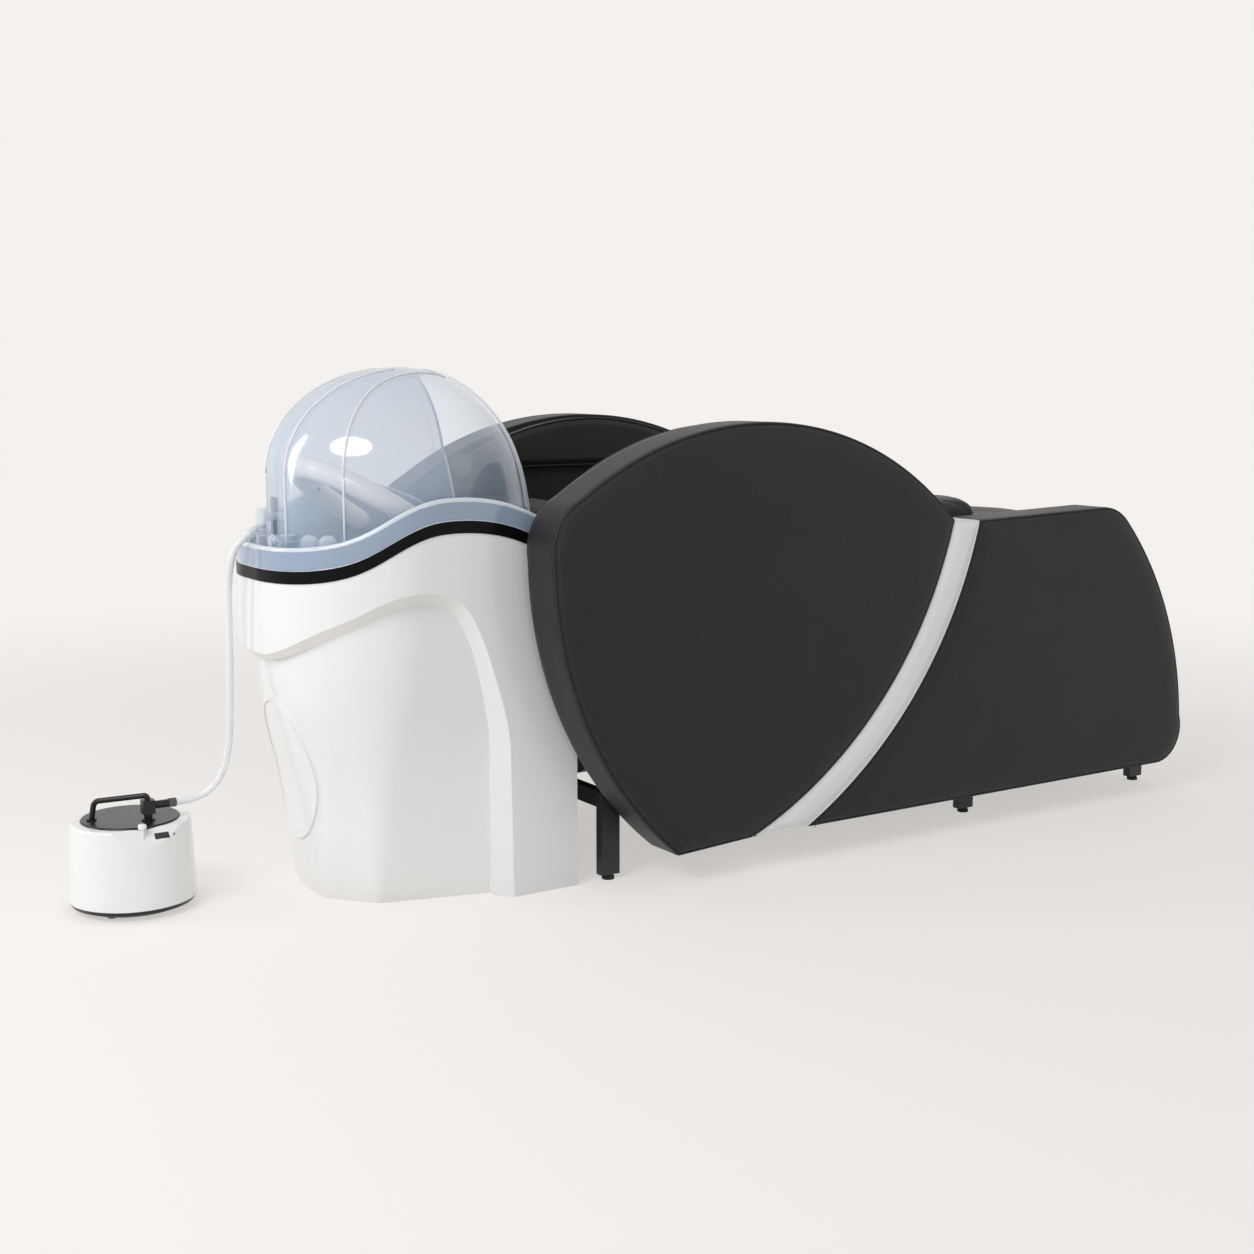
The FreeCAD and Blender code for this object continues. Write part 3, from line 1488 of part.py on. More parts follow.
def make_pot_lid():
    bottom = pot_lid_top - pot_lid_thickness
    lid = disc(pot_lid_radius, bottom, pot_lid_top)
    lid = lid.makeFillet(pot_lid_round, [e for e in lid.Edges if e.BoundBox.ZMin > bottom + overrun])
    plug = disc(pot_tank_radius - pot_tank_wall - skin_gap, bottom - pot_lid_skirt, bottom)
    plug = plug.cut(disc(pot_tank_radius - 2 * pot_tank_wall - pot_body_wall, bottom - 2 * pot_lid_skirt, bottom))
    return fused([lid, plug])


def make_handle():
    """The carrying handle: up from the lid, across and down into the valve block."""
    foot = Vector(handle_foot_x, handle_foot_y, pot_lid_top)
    valve = Vector(valve_x, valve_y, valve_top)
    way = Vector(valve.x - foot.x, valve.y - foot.y, 0).normalize()
    points = [
        foot,
        Vector(foot.x, foot.y, handle_low) + way * handle_lean,
        Vector(valve.x, valve.y, handle_high),
        valve,
    ]
    points[2] = points[2] - way * overrun
    spine = bent_wire(points, [handle_bend, handle_radius + overrun])
    circle = Part.Wire([Part.Circle(foot, points[1] - foot, handle_radius).toShape()])
    bar = spine.makePipeShell([circle], True, False)
    collar = rod(handle_collar_radius, foot, foot + Z_AXIS * handle_collar_height)
    root = rod(handle_radius, foot, foot + Z_AXIS * handle_collar_height)
    under = disc(pot_radius, 0, pot_lid_top)
    return fused([bar, collar, root]).cut(under).cut(make_valve_block())


def make_valve_block():
    x0 = valve_x - valve_half
    y0 = valve_y - valve_half
    block = box(x0, x0 + 2 * valve_half, y0, y0 + 2 * valve_half, valve_bottom, valve_top)
    edges = [e for e in block.Edges if e.BoundBox.ZLength > valve_half]
    return block.makeFillet(valve_half / 4, edges)


def make_valve():
    """The steam outlet: a stem in the lid, a block and a nozzle towards the bed."""
    stem = rod(valve_stem_radius, Vector(valve_x, valve_y, pot_lid_top), Vector(valve_x, valve_y, valve_bottom))
    flange = rod(valve_flange_radius, Vector(valve_x, valve_y, pot_lid_top),
                 Vector(valve_x, valve_y, pot_lid_top + valve_flange_height))
    start = Vector(valve_x, valve_y, nozzle_height)
    end = Vector(nozzle_end, valve_y, nozzle_height)
    nozzle = rod(nozzle_outer, start, end)
    collar = rod(nozzle_collar, start, end - X_AXIS * (nut_length + 2 * skin_gap))
    return fused([make_valve_block(), stem, flange, nozzle, collar])


def make_hose_nut():
    end = Vector(nozzle_end - skin_gap, valve_y, nozzle_height)
    start = end - X_AXIS * nut_length
    nut = rod(nut_radius, start, end)
    flutes = []
    for i in range(nut_flutes):
        turn = math.tau * i / nut_flutes
        line_at = Vector(0, math.cos(turn), math.sin(turn)) * nut_radius
        flute_start = start + line_at - X_AXIS * overrun
        flutes.append(rod(nut_flute_radius, flute_start, end + line_at + X_AXIS * overrun))
    bore = rod(nozzle_outer + running_fit, start - X_AXIS * overrun, end + X_AXIS * overrun)
    return nut.cut(flutes).cut(bore)


def make_pot_inlet(body):
    """The mains socket in the back of the pot."""
    outer = box(-inlet_width / 2, inlet_width / 2, pot_radius - inlet_depth, pot_radius + overrun,
                inlet_centre - inlet_height / 2, inlet_centre + inlet_height / 2)
    cone = Part.makeCone(
        pot_radius, pot_top_radius, pot_crest - pot_base_height, Vector(0, 0, pot_base_height))
    outer = outer.common(cone)
    space = box(-inlet_width / 2 + inlet_wall, inlet_width / 2 - inlet_wall,
                pot_radius - inlet_depth + inlet_wall, pot_radius + overrun,
                inlet_centre - inlet_height / 2 + inlet_wall, inlet_centre + inlet_height / 2 - inlet_wall)
    pins = []
    for side in (-1, 0, 1):
        x = side * inlet_width / 4
        pins.append(rod(inlet_pin_radius, Vector(x, pot_radius - inlet_depth, inlet_centre),
                        Vector(x, pot_radius - inlet_wall * 2, inlet_centre)))
    socket = fused([outer.cut(space)] + pins)
    return socket, body.cut(outer)


def hose_points():
    start = Vector(pot_x + nozzle_end, pot_y + valve_y, nozzle_height)
    points = []
    for x_share, y_share, z_share in hose_route_share:
        points.append(Vector(
            start.x + (hose_end_x - start.x) * x_share,
            start.y * (1 - y_share),
            start.z + (hose_end_height - start.z) * z_share,
        ))
    return points


def cord_tube(points, diameter):
    """A tube along straight runs joined by tangent arcs, each as large as its two runs allow."""
    places = [Vector(p) for p in points]
    radii = []
    for i in range(1, len(places) - 1):
        back = places[i - 1] - places[i]
        ahead = places[i + 1] - places[i]
        half_turn = (math.pi - back.getAngle(ahead)) / 2
        radii.append(hose_bend_share * min(back.Length, ahead.Length) / math.tan(half_turn))
    spine = bent_wire(places, radii)
    circle = Part.Wire([Part.Circle(places[0], places[1] - places[0], diameter / 2).toShape()])
    tube = spine.makePipeShell([circle], True, False)
    expected = math.pi * diameter ** 2 / 4 * spine.Length
    print("hose length", round(spine.Length, 1), "radii", [round(r, 1) for r in radii])
    print("hose volume over section times length", round(tube.Volume / expected, 5))
    return tube


def main():
    nodes = {}
    shell, lip_screws = make_pedestal()
    nodes["pedestal_shell"] = shell
    nodes["lip_screws"] = lip_screws
    nodes["trim_band"] = make_band()
    nodes["rim_collar"] = make_collar()
    nodes["wash_basin"] = make_basin()
    nodes["access_frame"], nodes["access_cover"] = make_access_cover()
    nodes["neck_rest"] = make_neck_rest()
    nodes["basin_drain"] = make_drain()
    nodes["hair_catcher"] = make_hair_catcher()
    nodes["waste_trap"] = make_trap()
    nodes["base_tray"] = make_tray()
    nodes["water_pump"], port = make_pump()
    nodes["feed_pipe"] = make_feed_pipe(port)
    nodes["mixer_block"] = make_mixer()
    hot, cold = tap_places()
    nodes["tap_hot"] = make_tap(hot)
    nodes["tap_cold"] = make_tap(cold)
    nodes["water_arch"] = make_arch()
    nodes["arch_sleeves"], nodes["arch_nozzles"] = make_arch_trim()
    nodes["arch_posts"] = make_arch_posts()
    nodes["steam_hood"] = make_hood()
    nodes["hood_hinge"] = make_hinge()
    nodes["steam_elbow"] = make_elbow()
    board, leaf, stripe, foot = make_side()
    bolts = make_carcass_bolts()
    nodes["frame_bolts"] = bolts
    nodes["side_boards"] = both_sides(board.cut(bolts))
    nodes["leaf_pad_near"] = leaf
    nodes["leaf_pad_far"] = mirrored(leaf)
    nodes["stripe_panels"] = both_sides(stripe)
    nodes["foot_pad_near"] = foot
    nodes["foot_pad_far"] = mirrored(foot)
    nodes["arm_pads"] = both_sides(make_arm_pad())
    nodes["foot_apron"] = make_apron()
    nodes["mattress"], nodes["leg_cushion"] = make_mattress()
    nodes["cushion_boards"] = make_boards()
    nodes["carcass_boards"] = make_carcass_boards()
    nodes["frame_rails"] = both_sides(make_rail().cut(bolts))
    legs = []
    for name, share in zip(("head", "middle", "end"), leg_places_share):
        x = leg_span * share
        legs.append(make_leg_frame(x))
        nodes["levelling_foot_" + name + "_near"] = make_foot(x, -1)
        nodes["levelling_foot_" + name + "_far"] = make_foot(x, 1)
    nodes["leg_frames"] = Part.makeCompound(legs)
    body = make_pot_body()
    pot = {}
    pot["pot_base"], pot["pot_feet"] = make_pot_base()
    pot["pot_button"], body = make_pot_button(body)
    pot["pot_display"], pot["pot_lamp"], body = make_display(body)
    pot["pot_inlet"], body = make_pot_inlet(body)
    pot["pot_body"] = body
    pot["pot_tank"] = make_pot_tank()
    pot["pot_heater"] = make_heater()
    pot["pot_lid"] = make_pot_lid()
    pot["pot_handle"] = make_handle()
    pot["pot_valve"] = make_valve()
    pot["hose_nut"] = make_hose_nut()
    for name, shape in pot.items():
        nodes[name] = pot_place(shape)
    nodes["steam_hose"] = cord_tube(hose_points(), hose_diameter)
    overall_middle = (pot_x - pot_radius + leg_span + leg_width / 2) / 2
    os.makedirs("parts", exist_ok=True)
    for name, shape in nodes.items():
        shape.translate(Vector(-overall_middle, 0, 0))
        shape.exportStep("parts/" + name + ".step")
    print(len(nodes), "nodes")


main()
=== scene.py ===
"""Hair washing bed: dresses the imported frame.

Adds leather pads, cushions, finishes, a steam hose and a small studio.
"""

import math

import bmesh
import bpy
import numpy as np
from bpy.props import FloatProperty, FloatVectorProperty, IntProperty, PointerProperty
from mathutils import Matrix, Vector, noise
from mathutils.bvhtree import BVHTree
from mathutils.geometry import delaunay_2d_cdt


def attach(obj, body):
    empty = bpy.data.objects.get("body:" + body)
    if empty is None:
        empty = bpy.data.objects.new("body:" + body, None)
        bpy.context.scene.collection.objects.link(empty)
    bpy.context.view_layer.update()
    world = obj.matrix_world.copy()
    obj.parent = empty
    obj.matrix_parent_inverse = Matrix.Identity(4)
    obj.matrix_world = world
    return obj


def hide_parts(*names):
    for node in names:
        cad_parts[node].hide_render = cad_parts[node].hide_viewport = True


bl_info = {
    "name": "Hair Washing Bed",
    "version": (1, 0, 0),
    "blender": (4, 5, 0),
    "location": "View3D > Sidebar > Washing Bed",
    "description": "Leather, cushions, hood, steam pot and studio for a hair washing bed",
    "category": "Object",
}

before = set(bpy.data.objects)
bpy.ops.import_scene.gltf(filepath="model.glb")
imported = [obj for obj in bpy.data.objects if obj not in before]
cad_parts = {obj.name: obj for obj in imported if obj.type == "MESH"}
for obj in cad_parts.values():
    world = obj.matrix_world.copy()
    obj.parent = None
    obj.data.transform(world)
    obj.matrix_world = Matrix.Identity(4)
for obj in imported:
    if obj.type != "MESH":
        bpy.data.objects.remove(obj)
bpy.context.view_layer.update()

# The bed's own measuring point, the first pair of legs, in the row frame
BED_X = -0.2845

# Places on the side panels, as shares of their length and height
LEAF_ARCS = (
    ((0.054, 0.0695), (-0.0777, 0.361), (-0.1263, 0.72)),
    ((-0.1263, 0.72), (-0.1168, 0.808), (-0.0851, 0.8553)),
    ((-0.0851, 0.8553), (0.1769, 1.0), (0.5125, 0.7627)),
    ((0.5125, 0.7627), (0.4186, 0.4178), (0.1695, 0.081)),
    ((0.1695, 0.081), (0.054, 0.0695)),
)
STRIPE_ARCS = (
    ((0.5125, 0.7627), (0.5604, 0.757)),
    ((0.5604, 0.757), (0.4767, 0.426), (0.26, 0.081)),
    ((0.26, 0.081), (0.1695, 0.081)),
    ((0.1695, 0.081), (0.4186, 0.4178), (0.5125, 0.7627)),
)
FOOT_ARCS = (
    ((0.5604, 0.757), (0.8143, 0.7685)),
    ((0.8143, 0.7685), (0.8413, 0.758), (0.8629, 0.7315)),
    ((0.8629, 0.7315), (0.9507, 0.5174), (1.0, 0.2025)),
    ((1.0, 0.2025), (0.9899, 0.11), (0.9487, 0.081)),
    ((0.9487, 0.081), (0.26, 0.081)),
    ((0.26, 0.081), (0.4767, 0.426), (0.5604, 0.757)),
)

# The steam hose, from the pot's nozzle to the elbow, as shares of its reach, drift and rise
HOSE_ROUTE = (
    (0.0, 0.0, 0.0),
    (0.22, 0.0, 0.0),
    (0.475, 0.2, 0.033),
    (0.65, 0.33, 0.112),
    (0.715, 0.41, 0.232),
    (0.737, 0.43, 0.405),
    (0.752, 0.45, 0.58),
    (0.745, 0.5, 0.726),
    (0.737, 0.71, 0.851),
    (0.781, 0.92, 0.934),
    (0.87, 1.0, 0.974),
    (1.0, 1.0, 1.0),
)

# The hood's moulded ribs on its far side, seen from above: the corners that bend each one
HOOD_RIBS = (
    ((-0.330, 0.040), (-0.404, 0.041), (-0.478, 0.043), (-0.552, 0.045)),
    ((-0.238, 0.061), (-0.310, 0.082), (-0.385, 0.070), (-0.492, 0.160)),
)

# How a side pad rises from its seam, in distances from its edge: under the seam, and over it as shares of its
# crown, and last in shares of its crown run
SEAM_DROPS = ((0.0, 0.005), (0.0006, 0.0028), (0.0018, 0.0012), (0.0036, 0.0004))
SHOULDER_SHARES = ((0.0052, 0.16), (0.0080, 0.40), (0.0130, 0.62))
CROWN_SHARES = ((0.15, 0.78), (0.4, 0.92), (0.7, 0.985), (1.0, 1.0))

# How an arm pad rises from its seam: distances from the seam and shares of its thickness
ARM_WALL_SHARES = (0.0, 0.3, 0.55)
ARM_SHARES = (
    (0.0, 0.55), (0.0008, 0.66), (0.0028, 0.72), (0.0048, 0.78),
    (0.008, 0.88), (0.011, 0.95), (0.0135, 0.99), (0.0155, 1.0),
)

# A height over the whole bed, from which a line is dropped on a cushion
ABOVE_ALL = 2.0

# The least cosine for which a corner is mitred in full
LEAST_LEAN = 0.35

# Fineness of the meshes
OUTLINE_STEP = 0.012
FACE_STEP = 0.015
CUSHION_STEP = 0.008
CUSHION_SIDES = 64
END_SPOTS = (0.0, 0.0012, 0.004, 0.009, 0.015)

# How far leather and padding stray from a true surface
FACE_WOBBLE = 0.0005
LONG_WAVE = (0.0009, 61.0)
SHORT_WAVE = (0.0006, 143.0)

# A stitch: its length, the gap to the next one, its radius, and its swell in shares of both
STITCH_LENGTH = 0.0038
STITCH_GAP = 0.0024
STITCH_RADIUS = 0.00055
STITCH_SWELL = ((-0.5, 0.35), (-0.28, 1.0), (0.28, 1.0), (0.5, 0.35))
STITCH_SIDES = 5

# The cloth simulation of a stuffed cushion
CLOTH_FRAMES = 20
CLOTH_QUALITY = 4

# The camera, from the first pair of legs, and the way it looks
CAMERA_PLACE = (-1.7068, -2.9342, 0.965)
CAMERA_YAW = math.radians(56.95)
CAMERA_PITCH = math.radians(8.57)

# Each lamp's place, aim, width and height
LAMPS = {
    "key": ((-3.3, -1.5, 2.9), (-0.2, 0.0, 0.4), 2.4, 1.6),
    "fill": ((1.6, -3.2, 1.5), (0.2, 0.0, 0.4), 1.6, 1.6),
    "rim": ((-2.9, 1.3, 1.5), (-0.5, 0.0, 0.7), 0.5, 2.0),
}

# The round floor: its rings, how far it lies under the feet, and where it fades into the paper
FLOOR_RADII = (0.01, 1.0, 2.0, 4.0, 9.0, 20.0)
FLOOR_SIDES = 64
FLOOR_DROP = 0.0004
FADE_START = 1.2
FADE_END = 4.2
FADE_LEAST = 0.6


def length(name, description, default):
    return FloatProperty(name=name, description=description, default=default, unit="LENGTH", precision=4)


def colour(name, description, default):
    return FloatVectorProperty(
        name=name, description=description, default=default, subtype="COLOR", size=3, min=0.0, max=1.0
    )


def power(name, description, default):
    return FloatProperty(name=name, description=description, default=default, min=0.0, subtype="POWER")


class PanelSizes(bpy.types.PropertyGroup):
    """Sizes of the padded side panels."""

    reach: length("Length", "Length of the panel's outline along the bed", 1.481)
    height: length("Height", "Height of the panel's crown over the floor", 0.864)
    board_face: length("Board face", "Distance from the middle of the bed to the outside of the board", 0.273)
    leaf_face: length("Leaf face", "Distance from the middle of the bed to the leaf's outer face", 0.375)
    stripe_face: length("Stripe face", "Distance from the middle of the bed to the stripe's face", 0.3705)
    foot_face: length("Foot face", "Distance from the middle of the bed to the foot pad's outer face", 0.3735)
    crown: length("Crown", "How far the leather rises from its seam", 0.010)
    crown_run: length("Crown run", "How far from the seam the leather is flat again", 0.042)
    piping: length("Piping radius", "Radius of the cord sewn into the seam", 0.0021)
    seam_gap: length("Seam gap", "Space between neighbouring pads", 0.0006)


class CushionSizes(bpy.types.PropertyGroup):
    """Sizes of the cushions that a client lies on."""

    half_width: length("Half width", "Half the width of the cushions", 0.243)
    head: length("Head end", "Head end of the long cushion, from the first legs", -0.058)
    foot: length("Foot end", "Foot end of the long cushion, from the first legs", 0.948)
    top: length("Top", "Height of the long cushion over the floor", 0.680)
    thickness: length("Thickness", "Thickness of the long cushion", 0.090)
    crown: length("Crown", "How far the middle stands over the edges", 0.0085)
    edge: length("Edge radius", "Radius of the long edges", 0.022)
    channels: IntProperty(
        name="Channels", description="Sewn channels across the long cushion", default=3, min=0
    )
    channel_depth: length("Channel depth", "Depth of a sewn channel", 0.008)
    swell: length("Swell", "How much lower a cushion starts before it is stuffed", 0.003)
    swell_most: length("Most swell", "How far stuffing may move the leather", 0.008)
    voxel: length("Cloth cell", "Size of a cell of the stuffed cushions", 0.006)
    pressure: FloatProperty(
        name="Pressure", description="Pressure inside the stuffed cushions", default=4.0, min=0.0
    )
    rise: length("Head rise", "How far the head end is raised", 0.020)
    rise_run: length("Head rise length", "Length of the raised head end", 0.150)
    leg_head: length("Leg cushion head", "Head end of the leg cushion, from the first legs", 0.954)
    leg_foot: length("Leg cushion foot", "Foot end of the leg cushion, from the first legs", 1.290)
    leg_top: length("Leg cushion top", "Height of the leg cushion over the floor", 0.625)
    leg_thickness: length("Leg cushion thickness", "Thickness of the leg cushion", 0.080)
    arm_bottom: length("Arm pad bottom", "Height of the arm pad's lower seam over the floor", 0.757)
    arm_crown: length("Arm pad crown", "Height of the arm pad's top over the floor", 0.858)
    arm_end: length("Arm pad end", "Height of the arm pad's upright ends", 0.020)
    arm_head: length("Arm pad head", "Head end of the arm pad, from the first legs", -0.040)
    arm_foot: length("Arm pad foot", "Foot end of the arm pad, from the first legs", 0.560)
    arm_crown_at: length("Arm pad crown place", "Where the arm pad is highest, from the first legs", 0.262)
    arm_back: length("Arm pad back", "Distance from the middle of the bed to the arm pad's back", 0.2547)
    arm_thickness: length("Arm pad thickness", "Thickness of the arm pad", 0.024)


class HoseSizes(bpy.types.PropertyGroup):
    """Sizes and ends of the steam hose."""

    diameter: length("Diameter", "Outside diameter of the hose", 0.013)
    span: length("Length", "Length of the hose from end to end", 0.5567)
    start_x: length("Start X", "Nozzle end, from the first legs", -0.737)
    start_y: length("Start Y", "Nozzle end, from the middle of the bed", 0.048)
    start_z: length("Start Z", "Nozzle end, over the floor", 0.190)
    end_x: length("End X", "Elbow end, from the first legs", -0.600)
    end_z: length("End Z", "Elbow end, over the floor", 0.672)


class RimSizes(bpy.types.PropertyGroup):
    """Sizes of the pedestal's rim, for the beads along its collar."""

    half_width: length("Half width", "Half the width of the rim", 0.250)
    head: length("Head end", "Head end of the rim, from the first legs", -0.600)
    foot: length("Foot end", "Foot end of the rim, from the first legs", -0.071)
    corner_cut: length("Corner cut", "How far the head corners are cut back", 0.131)
    notch: length("Neck dip", "Half the width of the dip for the neck", 0.138)
    wall: length("Collar wall", "Thickness of the collar", 0.012)
    bead: length("Bead radius", "Radius of the bead on the collar's top", 0.0062)
    # The lower bead is a thin pale tube that paints the highlight along the collar's lower edge.
    foot_highlight_bead: length("Lower bead radius", "Radius of the bead at the collar's foot", 0.0013)


class HoodSizes(bpy.types.PropertyGroup):
    """Sizes of the steam hood, for its ribs and the bead round its opening."""

    half_width: length("Half width", "Half the width of the hood", 0.224)
    head_reach: length("Head reach", "From the hood's middle to its head end", 0.251)
    foot_reach: length("Foot reach", "From the hood's middle to its foot end", 0.255)
    centre: length("Centre", "Middle of the hood, from the first legs", -0.302)
    top: length("Top", "Top of the hood over the floor", 0.965)
    crown: length("Crown", "Height over which the sides and the head end round over", 0.190)
    foot_crown: length("Foot crown", "Height over which the foot end rounds over", 0.338)
    foot: length("Foot", "Lower edge of the hood over the floor", 0.6465)
    rib: length("Rib radius", "Radius of the moulded ribs", 0.0021)
    bead: length("Bead radius", "Radius of the bead round the opening", 0.0024)
    flange: length("Flange", "How far the opening's flange stands out of the hood", 0.003)
    opening_head: length("Opening head", "Head end of the opening, from the first legs", -0.238)
    opening_shoulder: length("Opening shoulder", "Where the opening is at its full width", -0.136)
    opening_narrow: length("Opening narrow", "Half the width of the opening at its head end", 0.060)
    opening_wide: length("Opening wide", "Half the full width of the opening", 0.150)


class FinishColours(bpy.types.PropertyGroup):
    """Colours of the bed's finishes."""

    leather_black: colour("Black leather", "Panels and cushions", (0.016, 0.016, 0.0165))
    leather_white: colour("White leather", "Stripe between the panels", (0.95, 0.95, 0.95))
    shell_white: colour("White shell", "Pedestal and steam pot", (0.86, 0.86, 0.86))
    band_black: colour("Black band", "Trim under the basin's rim", (0.004, 0.004, 0.0045))
    hood_tint: colour("Hood", "Steam hood", (0.70, 0.83, 0.99))
    # The ribs, the edge bead and the tap knobs take this white, lighter than the hood: partly a painted
    # highlight.
    rib_white: colour("Hood ribs", "Ribs and edge of the hood", (0.93, 0.95, 0.98))
    basin_tint: colour("Basin", "Basin and rim collar", (0.34, 0.43, 0.58))
    arch_pearl: colour("Pearl", "Water arch", (0.95, 0.905, 0.85))
    # Also the pale colour of the collar's beads, where it paints their highlights.
    clear: colour("Clear acrylic", "Tap knobs and elbow", (0.84, 0.90, 0.97))
    steel_black: colour("Black steel", "Legs and rails", (0.012, 0.012, 0.013))
    steel_bright: colour("Bright steel", "Drain and fasteners", (0.55, 0.56, 0.57))
    plastic_black: colour("Black plastic", "Pot lid, handle and base", (0.011, 0.011, 0.012))
    plastic_grey: colour("Grey plastic", "Nozzle nut and pipes", (0.10, 0.105, 0.11))
    silicone: colour("Silicone", "Steam hose", (0.91, 0.925, 0.94))
    thread: colour("Thread", "Stitches", (0.055, 0.055, 0.058))
    board: colour("Board", "Boards under the cushions", (0.045, 0.04, 0.036))
    screen: colour("Screen", "Display of the steam pot", (0.012, 0.014, 0.016))
    lens: colour("Lamp lens", "Lamp of the steam pot", (0.5, 0.62, 0.55))


class StudioSettings(bpy.types.PropertyGroup):
    """The floor, the lamps and the camera."""

    paper: colour("Paper", "Floor and background", (0.905, 0.879, 0.855))
    lit_floor: colour("Lit floor", "Floor near the bed, before it fades", (0.97, 0.945, 0.92))
    sky: FloatProperty(name="Sky", description="Strength of the even light", default=0.46, min=0.0)
    key: power("Key", "Power of the large lamp", 74.0)
    fill: power("Fill", "Power of the low lamp", 4.0)
    rim: power("Rim", "Power of the tall lamp", 16.0)
    focal: FloatProperty(name="Focal length", description="Lens of the camera in millimetres", default=49.522)


# Placing


def bed(x, y, z):
    """A point given from the first pair of legs, in the row frame."""
    return Vector((BED_X + x, y, z))


def link(obj):
    bpy.context.scene.collection.objects.link(obj)
    return obj


def mesh_object(name, points, faces, smooth=True):
    mesh = bpy.data.meshes.new(name)
    mesh.from_pydata([tuple(p) for p in points], [], faces)
    mesh.validate()
    for face in mesh.polygons:
        face.use_smooth = smooth
    return link(bpy.data.objects.new(name, mesh))


def join(name, objects):
    """One mesh object made of several, which are then removed."""
    work = bmesh.new()
    for obj in objects:
        work.from_mesh(obj.data)
    mesh = bpy.data.meshes.new(name)
    work.to_mesh(mesh)
    work.free()
    for obj in objects:
        old = obj.data
        bpy.data.objects.remove(obj)
        bpy.data.meshes.remove(old)
    return link(bpy.data.objects.new(name, mesh))


def mirror_y(obj, name):
    """A copy of a mesh object on the other side of the bed."""
    mesh = obj.data.copy()
    mesh.transform(Matrix.Diagonal((1, -1, 1, 1)))
    mesh.flip_normals()
    return link(bpy.data.objects.new(name, mesh))


def arc_through(start, middle, end, count):
    """Points on the circle through three points, without the last one."""
    a, b, c = (Vector((p[0], p[1])) for p in (start, middle, end))
    turn = 2 * (a.x * (b.y - c.y) + b.x * (c.y - a.y) + c.x * (a.y - b.y))
    far_a, far_b, far_c = a.length_squared, b.length_squared, c.length_squared
    centre = Vector((
        (far_a * (b.y - c.y) + far_b * (c.y - a.y) + far_c * (a.y - b.y)) / turn,
        (far_a * (c.x - b.x) + far_b * (a.x - c.x) + far_c * (b.x - a.x)) / turn,
    ))
    first = math.atan2(a.y - centre.y, a.x - centre.x)
    mid = (math.atan2(b.y - centre.y, b.x - centre.x) - first) % math.tau
    last = (math.atan2(c.y - centre.y, c.x - centre.x) - first) % math.tau
    if mid > last:
        last -= math.tau
    radius = (a - centre).length
    return [
        centre + radius * Vector((math.cos(first + last * i / count), math.sin(first + last * i / count)))
        for i in range(count)
    ]


def outline(arcs, sizes):
    """The closed outline of a side pad as points along the bed and up."""
    points = []
    for arc in arcs:
        places = [Vector((sizes.reach * u, sizes.height * v)) for u, v in arc]
        count = max(2, round((places[-1] - places[0]).length / OUTLINE_STEP))
        if len(places) == 3:
            points.extend(arc_through(*places, count))
        else:
            points.extend(places[0].lerp(places[1], i / count) for i in range(count))
    return points


def inset_loop(points, inset):
    """A closed loop moved inwards, with its corners mitred."""
    count = len(points)
    area = sum(points[i - 1].cross(points[i]) for i in range(count))
    side = 1 if area > 0 else -1
    moved = []
    for i in range(count):
        back = (points[i] - points[i - 1]).normalized()
        ahead = (points[(i + 1) % count] - points[i]).normalized()
        normal = Vector((-(back.y + ahead.y), back.x + ahead.x)) * side
        normal.normalize()
        lean = max(LEAST_LEAN, normal.dot(Vector((-back.y, back.x)) * side))
        moved.append(points[i] + normal * (inset / lean))
    return moved


def depth_inside(points, loop):
    """How deep each point lies inside a closed loop, and below 0 outside it."""
    spots = np.array([tuple(p) for p in points])[:, None, :]
    starts = np.array([tuple(p) for p in loop])
    ends = np.roll(starts, -1, axis=0)
    runs = ends - starts
    share = np.clip(((spots - starts) * runs).sum(-1) / (runs * runs).sum(-1), 0, 1)
    gaps = spots - (starts + share[..., None] * runs)
    depth = np.sqrt((gaps * gaps).sum(-1)).min(axis=1)
    crosses = (starts[:, 1] > spots[..., 1]) != (ends[:, 1] > spots[..., 1])
    rise = np.where(runs[:, 1] == 0, 1, runs[:, 1])
    at = starts[:, 0] + (spots[..., 1] - starts[:, 1]) * runs[:, 0] / rise
    inside = (crosses & (spots[..., 0] < at)).sum(axis=1) % 2 == 1
    return np.where(inside, depth, -depth)


